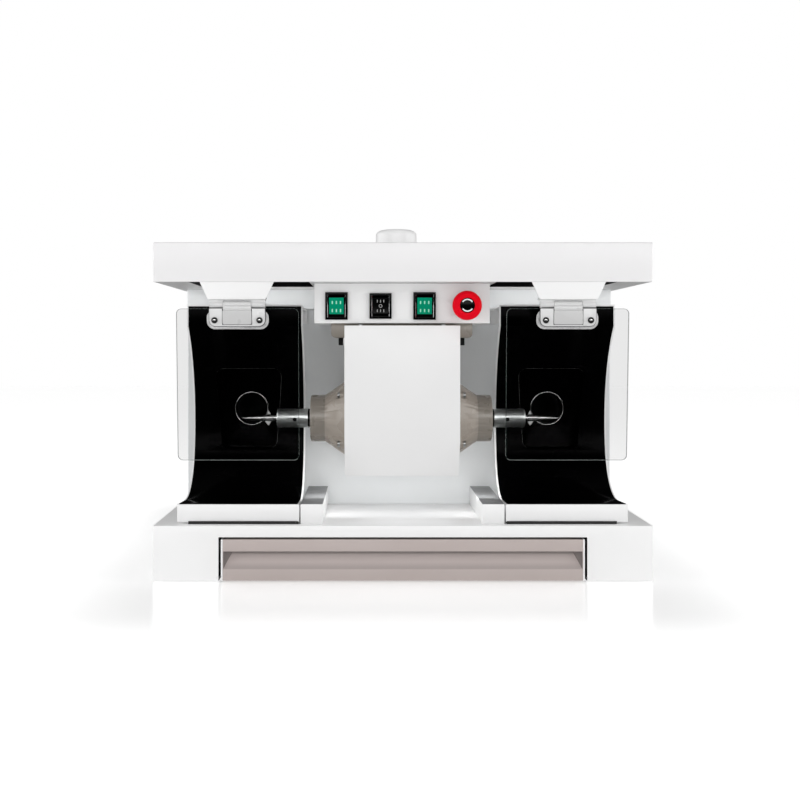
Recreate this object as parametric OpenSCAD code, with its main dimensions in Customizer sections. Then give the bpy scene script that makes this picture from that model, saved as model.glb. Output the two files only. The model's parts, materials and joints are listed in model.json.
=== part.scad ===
// Polishing lathe with two spindles, suction hoods, swing-up shields and a waste drawer.
// Millimetres. X is the width, Y runs from the front (negative) to the back and Z is up.
// The origin is on the bench, under the middle of the cabinet.

/* [Cabinet] */
// Width of the canopy and of the base
cabinet_w = 670; // [650:5:700]
// Depth of the canopy
cabinet_d = 480; // [475:1:500]
// Thickness of the sheet steel
sheet = 2; // [1.5:0.1:2]
// Height of the rubber feet that show below the base
foot_h = 2; // [2:0.5:4]
// Height of the base's top face
base_top = 76; // [76:1:78]
// Height of the canopy's underside
canopy_z = 403; // [403:1:410]
// Height of the canopy's skirt
canopy_h = 53; // [50:1:60]
// Width of the rear housing between the canopy and the base
housing_w = 644; // [620:2:644]
// Distance from the canopy's front edge to the rear housing's front wall
wall_depth = 210; // [208:1:212]

/* [Drawer] */
// Width of the drawer opening in the base
drawer_open_w = 494; // [490:1:494]
// Height of the drawer opening's top edge
drawer_open_z = 60.5; // [59:0.5:62]
// Width of the drawer's front with its end strips
drawer_w = 488; // [486:1:488]
// Height of the drawer front's top edge
drawer_top = 57.6; // [56:0.1:58]
// Depth of the finger pocket in the drawer's front
finger_depth = 16; // [12:1:16]
// Height of the finger pocket's top edge
finger_top = 41.5; // [40:0.5:43]
// Height of the finger pocket's bottom edge
finger_bottom = 18; // [16:1:20]

/* [Hoods] */
// Distance of a hood's middle from the cabinet's middle
hood_x = 222.5; // [220:0.5:224]
// Width of a hood
hood_w = 165; // [160:1:165]
// Radius of the hood's tall curve
hood_r = 186; // [182:1:190]
// Depth of the hood's lining behind the canopy's front edge, at its deepest
hood_depth = 157; // [154:1:160]
// Height at which the hood is deepest
hood_mid_z = 206; // [203:1:209]
// Radius of the curve that runs from the back into the floor
hood_floor_r = 80; // [70:1:84]
// Height of the hood's floor
hood_floor_z = 101; // [100:0.5:102]
// Height of the hood's top edge
hood_top_z = 376; // [375:0.5:378]
// Height of the bend between the tall curve and the upright top
hood_bend_z = 345; // [340:1:350]
// Distance of the front lip behind the canopy's front edge
lip_depth = 15; // [12:1:18]
// Height of the front lip's lower edge
lip_bottom = 79; // [78:0.5:80]
// Thickness of the black lining
liner = 1; // [0.8:0.1:1.2]
// How far the lining stops short of the hood's edges
liner_inset = 2.2; // [1.5:0.1:3]
// Depth of the suction pocket's bottom
pocket_depth = 189; // [186:1:190]
// Heights of the pocket's lower and upper edge
pocket_z = [165, 284];
// Widths of the pocket at its lower and upper edge
pocket_w = [80, 98];
// Outer radius of the suction pipe in the pocket
port_r = 25.35; // [24:0.05:26]
// Height of the suction pipe's axis
port_z = 223; // [221:1:225]

/* [Motor and spindles] */
// Distance of the spindle axis behind the canopy's front edge
spindle_depth = 100; // [99:1:101]
// Height of the spindle axis
spindle_z = 214; // [213:1:215]
// Radius of the motor's body
motor_r = 60; // [58:1:60]
// Half the length of the motor's body
motor_half = 62; // [60:1:62]
// Radius of the collar at a motor end
collar_r = 33.2; // [32:0.1:34]
// Distance of the collar's outer face from the middle
collar_x = 128.3; // [127:0.1:129]
// Radius of the motor shaft
shaft_r = 10; // [9:0.5:10.2]
// Radius of a chuck
chuck_r = 13.3; // [13:0.1:14]
// Distances of a chuck's two ends from the middle
chuck_x = [130, 176.4];
// Distance of a spindle's point from the middle
tip_x = 227; // [220:1:232]
// Radius of a spindle at the thick end of its taper
taper_r = 5.2; // [4.8:0.1:5.4]

/* [Controls] */
// Width of the control box
control_w = 241.6; // [240:0.2:243]
// Height of the control box's underside
control_z = 348.4; // [347:0.2:350]
// Distance of the control box's front behind the canopy's front edge
control_depth = 40; // [39:0.5:41]
// Height of the row of switches
switch_z = 372; // [371:0.5:373]
// Distance of the emergency stop from the middle
estop_x = 87.6; // [86:0.1:89]
// Radius of the emergency stop's head
estop_r = 20; // [18:0.5:20]

/* [Shields] */
// Width of a clear shield
shield_w = 165; // [160:1:166]
// Length of a clear shield
shield_h = 206.5; // [200:0.5:210]
// Thickness of a clear shield
shield_t = 4.5; // [4:0.1:4.6]
// Distance of a shield's middle from the cabinet's middle
shield_x = 223; // [222:0.5:224]
// Lean of a shield at rest, with its lower edge further back
shield_lean = 4; // [2:0.5:5]

/* [Hidden] */
$fn = 64;

// Colours
white = [0.93, 0.93, 0.93];
taupe = [0.62, 0.58, 0.54];
drawer_taupe = [0.68, 0.64, 0.62];
gloss_black = [0.02, 0.02, 0.02];
hinge_grey = [0.8, 0.8, 0.8];
steel = [0.6, 0.61, 0.61];
galvanised = [0.7, 0.71, 0.72];

// Places worked out from the driving dimensions
over = 1;                                   // how far a cutter runs past the face that it cuts
front_y = -cabinet_d / 2;
half_w = cabinet_w / 2;
wall_y = front_y + wall_depth;
base_back = cabinet_d / 2 - 2;
panel_y = cabinet_d / 2 - 6;                // inner face of the rear panel
header_z = canopy_z - 30;                   // lower edge of the header fold
header_y = wall_y - 8;                      // face of the header fold
spindle_y = front_y + spindle_depth;
control_y = front_y + control_depth;
exhaust = [0, 160];                         // axis of the exhaust pipe
exhaust_r = 28;
vent_z = port_z;
filter_x = [-140, 60];
filter_y = [60, 128];
duct_y = (filter_y[0] + filter_y[1]) / 2;
duct_r = port_r + 2.65;
blower = [-50, 280];                        // the blower's axis: X and Z
blower_y = [filter_y[1], 190];
blower_inlet_r = 38;
inlet = [-270, 112];                        // the power inlet's middle: X and Z
hinge_y = front_y + 11;
hinge_z = canopy_z - 30;
knuckle_r = 4.6;
pin_r = 2;
fit = 0.05;                                 // radial clearance of a running fit
drawer_front_y = front_y + 0.5;
drawer_body_y = front_y + 20;
box_half = drawer_w / 2 - 6;                // half the width of the drawer's tray
partition_x = drawer_open_w / 2 + 2;        // inner face of a partition beside the drawer
lamp_x = [126, 288];                        // ends of a lamp recess
lamp_depth = 128;                           // back of a lamp recess
// Each switch is [middle, frame width, frame height, tilt of its rocker at rest]
switches = [[-90.2, 30.8, 37.7, 7], [-29.6, 30.3, 35.1, 0], [30.9, 30.8, 37.7, 7]];
rocker_axis_y = control_y + 3;

// ---- Helpers ----

// A block given by its lowest and highest X, Y and Z
module block(x, y, z) {
    translate([x[0], y[0], z[0]])
        cube([x[1] - x[0], y[1] - y[0], z[1] - z[0]]);
}

// The same thing on both sides of the middle
module both_sides() {
    children();
    mirror([1, 0, 0]) children();
}

module left_side() {
    mirror([1, 0, 0]) children();
}

// A drawing of [depth, height] pushed along X, from one X to another
module along_x(x) {
    translate([x[0], 0, 0])
        rotate([90, 0, 90])
            linear_extrude(x[1] - x[0]) children();
}

// A drawing of [x, height] pushed along Y
module along_y(y) {
    translate([0, y[1], 0])
        rotate([90, 0, 0])
            linear_extrude(y[1] - y[0]) children();
}

// A drawing of [radius, distance] turned about the spindle axis, with distance along +X
module on_spindle() {
    translate([0, spindle_y, spindle_z])
        rotate([0, 90, 0])
            children();
}

// A rod along Y, from one Y to another
module rod_y(y, r) {
    translate([0, y[1], 0])
        rotate([90, 0, 0])
            cylinder(r = r, h = y[1] - y[0]);
}

// A rod along X, from one X to another
module rod_x(x, r) {
    translate([x[0], 0, 0])
        rotate([0, 90, 0])
            cylinder(r = r, h = x[1] - x[0]);
}

function unit(v) = v / norm(v);
function arc_points(centre, r, from, to, steps) = [
    for (i = [0:steps])
        let (a = from + (to - from) * i / steps)
            centre + r * [cos(a), sin(a)]
];
// One rounded corner of an outline, between the corners before and after it
function corner_points(before, corner, after, r) =
    let (
        u = unit(before - corner),
        v = unit(after - corner),
        half = acos(u * v) / 2,
        centre = corner + unit(u + v) * r / sin(half),
        start = corner + u * r / tan(half) - centre,
        a = atan2(start[1], start[0]),
        turn = 180 - 2 * half
    ) arc_points(centre, r, a, a + turn, 6);
// A convex outline, given anticlockwise, with all of its corners rounded
function rounded(outline, r) =
    let (n = len(outline)) [
        for (i = [0:n - 1])
            each corner_points(outline[(i + n - 1) % n], outline[i], outline[(i + 1) % n], r)
    ];
function rectangle(w, h) = [[-w / 2, -h / 2], [w / 2, -h / 2], [w / 2, h / 2], [-w / 2, h / 2]];

// ---- Base and drawer ----

module base_cabinet() {
    bottom = foot_h;
    color(white)
    difference() {
        union() {
            difference() {
                block([-half_w, half_w], [front_y, base_back], [bottom, base_top]);
                block([-half_w + sheet, half_w - sheet], [front_y + sheet, base_back - sheet],
                      [bottom + sheet, base_top - sheet]);
            }
            // partitions that carry the runners
            both_sides()
                block([partition_x, partition_x + sheet], [front_y + sheet / 2, base_back - sheet / 2],
                      [bottom + sheet / 2, base_top - sheet / 2]);
        }
        // drawer opening, which also takes the front edge of the bottom sheet
        block([-drawer_open_w / 2, drawer_open_w / 2], [front_y - over, front_y + sheet + over / 2],
              [bottom - over, drawer_open_z]);
        block([-drawer_open_w / 2, drawer_open_w / 2], [front_y - over, drawer_body_y + 3],
              [bottom - over, bottom + sheet + over / 2]);
        at_feet()
            translate([0, 0, bottom - over]) cylinder(r = foot_hole_r, h = sheet + 2 * over);
    }
}

foot_at = [300, 205];    // distances of a foot from the middle
foot_hole_r = 4;
module at_feet() {
    for (x = [-foot_at[0], foot_at[0]], y = [-foot_at[1], foot_at[1]])
        translate([x, y, 0]) children();
}

// Each foot has a neck in the bottom sheet's hole and a barb above it
module feet() {
    foot_r = 14;
    neck_r = foot_hole_r - 0.1;
    barb_r = foot_hole_r + 2;
    barb_z = foot_h + sheet;
    color([0.1, 0.1, 0.1])
    at_feet()
        rotate_extrude()
            polygon([[0, 0], [foot_r - 1, 0], [foot_r, 1], [foot_r, foot_h], [neck_r, foot_h],
                     [neck_r, barb_z], [barb_r, barb_z], [barb_r - 2, barb_z + 3], [0, barb_z + 3]]);
}

runner_z = [22, 52];
runner_y = [drawer_body_y + 5, 200];
module drawer_runners() {
    flange = 1.5;
    color(galvanised)
    both_sides() {
        block([partition_x - 1.5, partition_x], runner_y, runner_z);
        for (z = [runner_z[0], runner_z[1] - flange])
            block([box_half + 3, partition_x - 1], runner_y, [z, z + flange]);
    }
}

module drawer_slides() {
    gap = 2.2;
    flange = 1.5;
    slide_z = [runner_z[0] + gap, runner_z[1] - gap];
    slide_y = [runner_y[0], 180];
    color(galvanised)
    both_sides() {
        block([box_half, box_half + 1.5], slide_y, slide_z);
        for (z = [slide_z[0], slide_z[1] - flange])
            block([box_half + 1, partition_x - 2.2], slide_y, [z, z + flange]);
    }
}

// The front is a skin of even thickness round a sloping finger pocket
module drawer_front() {
    skin = 2;
    half = drawer_w / 2 - 2.5;
    face = drawer_front_y;
    back = drawer_body_y;
    low = foot_h + 0.5;
    slope = unit([finger_depth, finger_top - finger_bottom]);
    behind = [slope[1], -slope[0]] * skin;
    deep = [face + finger_depth, finger_top];
    color(drawer_taupe)
    difference() {
        block([-half, half], [face, back], [low, drawer_top]);
        // the pocket's section, cut off by its slanting ends
        intersection() {
            along_x([-half, half])
                polygon([[face - over, finger_bottom - over * slope[1] / slope[0]], deep,
                         [face - over, finger_top]]);
            linear_extrude(drawer_top)
                polygon([[-half + 0.5, face - over], [half - 0.5, face - over],
                         [half - 13, face + finger_depth], [-half + 13, face + finger_depth]]);
        }
        // the hollows behind the skin, above and below the pocket
        block([-half + skin, half - skin], [face + skin, back + over],
              [finger_top + skin, drawer_top - skin]);
        along_x([-half + 14, half - 14])
            polygon([[face + skin, low + skin], [back + over, low + skin],
                     [back + over, finger_top - skin],
                     [deep[0] + behind[0] - skin * slope[0], finger_top - skin],
                     [face + skin, finger_bottom + (skin - behind[0]) * slope[1] / slope[0] + behind[1]]]);
    }
}

tray_z = [8, 52];
tray_y = [drawer_body_y, 182];
module drawer_box() {
    wall = 1.5;
    low = foot_h + 0.5;
    color(white) {
        difference() {
            block([-box_half, box_half], tray_y, tray_z);
            block([-box_half + wall, box_half - wall], [tray_y[0] + sheet, tray_y[1] - wall],
                  [tray_z[0] + wall, tray_z[1] + over]);
        }
        // front sheet with its two end strips
        block([-drawer_w / 2, drawer_w / 2], [drawer_body_y, drawer_body_y + sheet], [low, drawer_top]);
        both_sides()
            block([drawer_w / 2 - 2.3, drawer_w / 2], [drawer_front_y, drawer_body_y + sheet],
                  [low, drawer_top]);
    }
}

// ---- Rear housing and canopy ----

module port_axis(side) {
    translate([side * hood_x, 0, port_z]) children();
}

module rear_housing() {
    half = housing_w / 2;
    rim = 14;
    color(white)
    difference() {
        union() {
            block([-half, half], [wall_y, panel_y], [base_top, canopy_z]);
            // header fold along the top of the front wall
            block([-half, half], [header_y, wall_y + sheet], [header_z, canopy_z]);
        }
        block([-half + sheet, half - sheet], [wall_y + sheet, panel_y - sheet],
              [base_top + sheet, canopy_z - sheet]);
        block([-half + sheet, half - sheet], [header_y + sheet, wall_y + sheet + over],
              [header_z + sheet, canopy_z - sheet]);
        // back opening inside a rim that takes the rear panel
        block([-half + rim, half - rim], [panel_y - sheet - over, panel_y + over],
              [base_top + rim, canopy_z - rim]);
        for (side = [-1, 1])
            port_axis(side) rod_y([wall_y - over, wall_y + sheet + over], port_r + 0.15);
        translate([exhaust[0], exhaust[1], canopy_z - sheet - over])
            cylinder(r = exhaust_r + 0.5, h = sheet + 2 * over);
    }
}

module rear_panel() {
    half = housing_w / 2 - 4;
    slot = 3;
    color(white)
    difference() {
        block([-half, half], [panel_y, panel_y + sheet], [base_top + 4, canopy_z - 4]);
        // two groups of vent slots
        for (side = [-1, 1], row = [0:7])
            translate([side * 150, 0, canopy_z - 100 + row * 9])
                block([-50, 50], [panel_y - over, panel_y + sheet + over], [-slot / 2, slot / 2]);
        translate([inlet[0], 0, inlet[1]])
            block([-14, 14], [panel_y - over, panel_y + sheet + over], [-10.5, 10.5]);
    }
}

screw_rows = [base_top + 10, (base_top + canopy_z) / 2, canopy_z - 10];
cover_screw = [57, 38];   // distance of a cover screw from the middle, and its depth
module housing_screws() {
    color(steel) {
        for (x = [-311, 311], z = screw_rows)
            translate([x, 0, z]) rod_y([panel_y + sheet, panel_y + sheet + 2], 4);
        for (x = [-105, 105], z = [screw_rows[0], screw_rows[2]])
            translate([x, 0, z]) rod_y([panel_y + sheet, panel_y + sheet + 2], 4);
        // two that hold the motor cover's top edge
        for (x = [-cover_screw[0], cover_screw[0]])
            translate([x, front_y + cover_screw[1], cover_z[2]]) cylinder(r = 3, h = 2);
    }
}

module canopy() {
    top = canopy_z + canopy_h;
    pan = 1.5;
    pan_top = canopy_z + 38;
    inside_y = front_y + sheet;
    color(white)
    difference() {
        union() {
            difference() {
                block([-half_w, half_w], [front_y, -front_y], [canopy_z, top]);
                block([-half_w + sheet, half_w - sheet], [inside_y, -inside_y],
                      [canopy_z + sheet, top - sheet]);
            }
            // pans that the lamps sit in
            both_sides()
                block([lamp_x[0] - pan, lamp_x[1] + pan], [inside_y - sheet / 2, front_y + lamp_depth + pan],
                      [canopy_z + sheet / 2, pan_top + pan]);
        }
        both_sides()
            block([lamp_x[0], lamp_x[1]], [inside_y, front_y + lamp_depth], [canopy_z - over, pan_top]);
        translate([exhaust[0], exhaust[1], canopy_z - over])
            cylinder(r = exhaust_r + 0.5, h = canopy_h + 2 * over);
    }
}

// Pipe, flange and domed cap of the exhaust, joined by four ribs
module exhaust_cap() {
    top = canopy_z + canopy_h;
    cap_r = 34.5;
    cap_top = top + 57;
    skirt = top + 14;
    dome = function (r, h) [for (a = [0:10:90]) [r - 15 + 15 * sin(a), h - 10 + 10 * cos(a)]];
    color(white)
    translate([exhaust[0], exhaust[1], 0]) {
        rotate_extrude()
            polygon([[exhaust_r - 2, canopy_z], [exhaust_r, canopy_z], [exhaust_r, top],
                     [46, top], [45, top + 2], [exhaust_r, top + 2], [exhaust_r, top + 36],
                     [exhaust_r - 2, top + 36]]);
        rotate_extrude()
            polygon(concat([[0, cap_top - 2.5], [0, cap_top]], dome(cap_r, cap_top),
                           [[cap_r, skirt], [cap_r - 2.5, skirt]],
                           [for (i = [9:-1:0]) dome(cap_r - 2.5, cap_top - 2.5)[i]]));
        for (turn = [0:90:270])
            rotate([0, 0, turn])
                block([exhaust_r - 1, cap_r - 1], [-1, 1], [skirt + 2, top + 34]);
    }
}

lamp_at = [front_y + 66, canopy_z + 25];
module lamp_tubes() {
    color([0.95, 0.95, 0.9])
    both_sides()
        translate([0, lamp_at[0], lamp_at[1]]) rod_x([lamp_x[0] + 12, lamp_x[1] - 12], 8);
}

module lamp_holders() {
    color([0.85, 0.85, 0.85])
    both_sides()
        for (x = [lamp_x[0], lamp_x[1] - 12])
            block([x, x + 12], [lamp_at[0] - 12, lamp_at[0] + 12], [lamp_at[1] - 11, lamp_at[1] + 11]);
}

// ---- Control box ----

module control_box() {
    half = control_w / 2;
    color(white)
    difference() {
        block([-half, half], [control_y, header_y], [control_z, canopy_z]);
        block([-half + sheet, half - sheet], [control_y + sheet, header_y - sheet],
              [control_z + sheet, canopy_z + over]);
        for (s = switches)
            block([s[0] - s[1] / 2 + 1.3, s[0] + s[1] / 2 - 1.3], [control_y - over, control_y + sheet + over],
                  [switch_z - s[2] / 2 + 1.3, switch_z + s[2] / 2 - 1.3]);
        translate([estop_x, 0, switch_z]) rod_y([control_y - over, control_y + sheet + over], 11.2);
    }
}

// Frame with a raised rim round the rocker, and the body behind it
module switch_bezel(s) {
    w = s[1];
    h = s[2];
    inner_w = w - 7.6;
    inner_h = h - 7.6;
    difference() {
        union() {
            block([-w / 2, w / 2], [control_y - 3, control_y], [-h / 2, h / 2]);
            block([-inner_w / 2 - 1.6, inner_w / 2 + 1.6], [control_y - 4.5, control_y],
                  [-inner_h / 2 - 1.6, inner_h / 2 + 1.6]);
            block([-w / 2 + 1.5, w / 2 - 1.5], [control_y - over, control_y + 22], [-h / 2 + 1.5, h / 2 - 1.5]);
        }
        block([-inner_w / 2, inner_w / 2], [control_y - 6, control_y + 20], [-inner_h / 2, inner_h / 2]);
        translate([0, rocker_axis_y, 0]) rod_x([-inner_w / 2 - 1.5, inner_w / 2 + 1.5], 1.5 + fit);
    }
}

module switch_bezels() {
    color(gloss_black)
    for (s = switches)
        translate([s[0], 0, switch_z]) switch_bezel(s);
}

// The rocker's ends are an arc about its own axis, so that they clear the bezel as it tips
module rocker(s) {
    half_w = s[1] / 2 - 4.1;
    end_r = s[2] / 2 - 4.1;
    translate([s[0], rocker_axis_y, switch_z])
        rotate([s[3], 0, 0]) {
            along_x([-half_w, half_w])
                intersection() {
                    circle(end_r);
                    polygon([[-6.2, 0], [-8.6, end_r], [4, end_r], [4, -end_r], [-8.6, -end_r]]);
                }
            rod_x([-half_w - 1.2, half_w + 1.2], 1.5);
        }
}

module rocker_left() {
    color([0.05, 0.5, 0.35]) rocker(switches[0]);
}

module rocker_middle() {
    color(gloss_black) rocker(switches[1]);
}

module rocker_right() {
    color([0.05, 0.5, 0.35]) rocker(switches[2]);
}

module estop_axis() {
    translate([estop_x, 0, switch_z]) children();
}

stem_r = 6;
module estop_collar() {
    color(gloss_black)
    estop_axis()
        difference() {
            union() {
                rod_y([control_y - 6, control_y], 14);
                rod_y([control_y - over, control_y + 28], 11);
                translate([0, control_y + sheet + 6, 0])
                    rotate([90, 0, 0]) cylinder(r = 15, h = 6, $fn = 6);
            }
            rod_y([control_y - 7, control_y + 30], stem_r + fit);
        }
}

module estop_stem() {
    color(gloss_black)
    estop_axis() rod_y([control_y - 22, control_y + 22], stem_r);
}

// Mushroom head with a domed rim, a shallow hollow for the centre disc and a neck behind
module estop_head() {
    crown = control_y - 30;
    color([0.85, 0.04, 0.08])
    estop_axis()
        translate([0, crown, 0])
            rotate([-90, 0, 0])
                rotate_extrude()
                    polygon(concat(
                        [[0, 8], [0, 1], [9.5, 1], [10, 0]],
                        [for (a = [0:15:90]) [estop_r - 6 + 6 * sin(a), 6 - 6 * cos(a)]],
                        [[estop_r, 9], [estop_r - 3, 12], [11, 12], [10, 15],
                         [stem_r + fit, 15], [stem_r + fit, 8]]));
}

// ---- Motor ----

// The casting: ribbed barrel, two feet and a pad for the terminal box
module motor_body() {
    ribs = 24;
    rib = [4, 2.4];
    foot_w = 18;
    color(taupe)
    difference() {
        union() {
            on_spindle()
                translate([0, 0, -motor_half])
                    linear_extrude(2 * motor_half) {
                        circle(motor_r);
                        for (i = [0:ribs - 1])
                            rotate((i + 0.5) * 360 / ribs)
                                translate([motor_r - rib[0] / 2, -rib[1] / 2]) square(rib);
                    }
            for (x = [-45, 45])
                block([x - foot_w / 2, x + foot_w / 2], [spindle_y - 42, spindle_y + 42],
                      [shelf_z[1], spindle_z - 40]);
            block([-40, 40], [spindle_y - 25, spindle_y + 25], [spindle_z + 40, terminal_pad_z]);
        }
        translate([0, spindle_y, spindle_z]) rod_x([-motor_half - over, motor_half + over], core_r + 0.5);
        both_sides()
            at_bell_screws() rod_x([motor_half - 14, motor_half + over], bell_screw_r + 0.1);
    }
}

terminal_pad_z = spindle_z + 66;
core_r = 38;             // radius of the rotor's core
bell_circle_r = 48;      // radius of the circle that an end bell's screws stand on
bell_screw_r = 2.4;
bell_boss_x = 86;
spot_face = [5, 14];     // radius and depth of the face that a screw's head sits on
bearing_x = [96, 110];
bearing_r = 23.5;

// Places of the four screws in an end bell
module at_bell_screws() {
    for (a = [45:90:315])
        translate([0, spindle_y + bell_circle_r * cos(a), spindle_z + bell_circle_r * sin(a)])
            children();
}

// Section of an end bell: rim, cone, collar with a rounded edge, bearing seat and hollow
module end_bell() {
    edge = arc_points([collar_r - 2.5, collar_x - 2.5], 2.5, 0, 90, 6);
    color(taupe)
    difference() {
        union() {
            on_spindle()
                rotate_extrude()
                    polygon(concat(
                        [[54, motor_half], [motor_r + 2, motor_half], [motor_r + 2, motor_half + 9],
                         [motor_r - 3, motor_half + 13], [52, 80], [collar_r, 107.7]],
                        edge,
                        [[21, collar_x], [20, collar_x - 1.5], [shaft_r + 0.6, collar_x - 1.5],
                         [shaft_r + 0.6, bearing_x[1]], [bearing_r, bearing_x[1]],
                         [bearing_r, bearing_x[0]], [30, bearing_x[0]], [46, 78], [54, 72]]));
            at_bell_screws() rod_x([motor_half, bell_boss_x], spot_face[0] + 1.5);
        }
        at_bell_screws() rod_x([motor_half - over, bell_boss_x + over], bell_screw_r + 0.2);
        at_bell_screws() rod_x([bell_boss_x, bell_boss_x + spot_face[1]], spot_face[0]);
    }
}

module end_bell_right() {
    end_bell();
}

module end_bell_left() {
    left_side() end_bell();
}

module bell_screws() {
    head = [4.2, 3.5];
    socket = [2.3, 2];
    color([0.2, 0.2, 0.2])
    both_sides()
        at_bell_screws()
            difference() {
                union() {
                    rod_x([motor_half - 12, bell_boss_x + 1], bell_screw_r);
                    rod_x([bell_boss_x, bell_boss_x + head[1]], head[0]);
                }
                rotate([90, 0, 90])
                    translate([0, 0, bell_boss_x + head[1] - socket[1]])
                        cylinder(r = socket[0], h = socket[1] + over, $fn = 6);
            }
}

// Sealed ball bearings, drawn with a groove between the rings on each face
module motor_bearings() {
    color(steel)
    both_sides()
        on_spindle()
            rotate_extrude()
                polygon([[shaft_r + fit, bearing_x[0]], [14.5, bearing_x[0]], [15, bearing_x[0] + 1],
                         [19, bearing_x[0] + 1], [19.5, bearing_x[0]], [bearing_r, bearing_x[0]],
                         [bearing_r, bearing_x[1]], [shaft_r + fit, bearing_x[1]]]);
}

module rotor_shaft() {
    color(steel)
    translate([0, spindle_y, spindle_z]) rod_x([-shaft_end, shaft_end], shaft_r);
}

shaft_end = 158;
core_half = 45;          // half the length of the rotor's core
module rotor_core() {
    color([0.35, 0.35, 0.36])
    translate([0, spindle_y, spindle_z])
        difference() {
            rod_x([-core_half, core_half], core_r);
            rod_x([-core_half - over, core_half + over], shaft_r);
        }
}

set_screw_x = 151;
set_screw_turn = 6;      // how far the set screw's hole is turned below the front
module set_screw_place() {
    translate([set_screw_x, spindle_y, spindle_z])
        rotate([90 + set_screw_turn, 0, 0]) children();
}

// Chuck that grips the shaft, with a stepped bore and a set screw's hole
module chuck() {
    color(steel)
    difference() {
        on_spindle()
            rotate_extrude()
                polygon([[shaft_r, chuck_x[0]], [chuck_r - 0.8, chuck_x[0]], [chuck_r, chuck_x[0] + 0.8],
                         [chuck_r, chuck_x[1] - 1], [chuck_r - 1, chuck_x[1]], [taper_r + 0.1, chuck_x[1]],
                         [taper_r + 0.1, shaft_end], [shaft_r, shaft_end]]);
        set_screw_place() translate([0, 0, shaft_r - 2]) cylinder(r = 2.85, h = chuck_r);
    }
}

module chuck_right() {
    chuck();
}

module chuck_left() {
    left_side() chuck();
}

module set_screws() {
    color([0.1, 0.1, 0.1])
    both_sides()
        set_screw_place() translate([0, 0, shaft_r]) cylinder(r = 2.8, h = 1.6);
}

// Spindle: shank in the chuck, shoulder, and a long taper that runs to a point
module spindle() {
    color([0.75, 0.75, 0.75])
    on_spindle()
        rotate_extrude()
            polygon([[0, shaft_end], [taper_r + 0.1, shaft_end], [taper_r + 0.1, chuck_x[1]],
                     [taper_r + 0.5, chuck_x[1]], [taper_r + 0.5, chuck_x[1] + 2],
                     [taper_r, chuck_x[1] + 3], [taper_r * 0.72, chuck_x[1] + 28],
                     [0.7, tip_x - 0.8], [0, tip_x]]);
}

module spindle_right() {
    spindle();
}

module spindle_left() {
    left_side() spindle();
}

// Bracket on the rear wall: back plate, shelf and two gussets behind the motor
shelf_z = [138, 144];
module motor_bracket() {
    plate_y = [wall_y - 4, wall_y];
    color(white) {
        block([-70, 70], plate_y, [shelf_z[0], 290]);
        block([-70, 70], [cover_foot_y + 2, wall_y - 2], shelf_z);
        both_sides()
            along_x([60, 64])
                polygon([[wall_y - 2, shelf_z[0] + 2], [wall_y - 2, 285], [wall_y - 12, 285],
                         [wall_y - 44, shelf_z[0] + 20], [wall_y - 44, shelf_z[0] + 2]]);
    }
}

terminal_y = [front_y + 52, front_y + 148];
terminal_z = [328.4, control_z];
module terminal_box() {
    outline = rounded([[-98, terminal_z[0]], [98, terminal_z[0]], [98, terminal_z[1] + 20],
                       [-98, terminal_z[1] + 20]], 6);
    color(taupe) {
        intersection() {
            along_y(terminal_y) polygon(outline);
            block([-99, 99], terminal_y, [terminal_z[0] - over, terminal_z[1]]);
        }
        // neck down to the pad on the motor
        block([-36, 36], [spindle_y - 21, spindle_y + 21], [terminal_pad_z, terminal_z[0] + 1]);
    }
}

// Heights of the cover's lower edge, its bend and its top
cover_z = [136, 186, 345];
cover_half = 79;
cover_y = front_y + 26;
cover_foot_y = front_y + 58;
module motor_cover() {
    bend = unit([cover_foot_y - cover_y, cover_z[0] - cover_z[1]]);
    inward = [-bend[1], bend[0]] * sheet;
    ear_y = terminal_y[0] + 14;
    color(white) {
        // bent front sheet
        along_x([-cover_half, cover_half])
            polygon([[cover_y, cover_z[2]], [cover_y, cover_z[1]], [cover_foot_y, cover_z[0]],
                     [cover_foot_y + 30, cover_z[0]], [cover_foot_y + 30, cover_z[0] + sheet],
                     [cover_foot_y + inward[0] / 2 + 0.6, cover_z[0] + sheet],
                     [cover_y + sheet, cover_z[1] + 0.6], [cover_y + sheet, cover_z[2] - sheet],
                     [terminal_y[0], cover_z[2] - sheet], [terminal_y[0], cover_z[2]]]);
        both_sides() {
            // side returns, deeper at the top where they carry an ear
            block([cover_half - sheet, cover_half], [cover_y + 1, cover_y + 10], [cover_z[1], cover_z[2]]);
            block([cover_half - sheet, cover_half], [cover_y + 1, terminal_y[0]], [318, cover_z[2]]);
            block([cover_half - sheet, cover_half], [cover_y + 1, ear_y], [318, terminal_z[0]]);
            block([cover_half - sheet, 88], [ear_y - sheet, ear_y], [318, terminal_z[0]]);
        }
    }
}

// ---- Hoods ----

module base_rails() {
    x = [108, 138];
    z = [base_top, 103];
    y = [front_y + lip_depth, wall_y];
    color(white)
    both_sides()
        difference() {
            block(x, y, z);
            block([x[0] + sheet, x[1] - sheet], [y[0] + sheet, y[1] + over], [z[0] - over, z[1] - sheet]);
        }
}

// The used side of the hood as a line of [depth, height], moved back by an offset
hood_centre = [hood_depth - hood_r, hood_mid_z];
floor_centre_z = hood_floor_z + hood_floor_r;
floor_rise = floor_centre_z - hood_mid_z;
floor_centre = [hood_centre[0] + sqrt(pow(hood_r - hood_floor_r, 2) - pow(floor_rise, 2)), floor_centre_z];
blend_angle = atan2(floor_rise, floor_centre[0] - hood_centre[0]);
bend_angle = asin((hood_bend_z - hood_mid_z) / hood_r);
upright_depth = hood_centre[0] + hood_r * cos(bend_angle);
lip_rise = 2.5;
function hood_line(offset, top) =
    let (a = acos((upright_depth + offset - hood_centre[0]) / (hood_r + offset)))
        concat([[upright_depth + offset, top]],
               arc_points(hood_centre, hood_r + offset, a, blend_angle, 20),
               arc_points(floor_centre, hood_floor_r + offset, blend_angle - 5, -90, 12));

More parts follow.
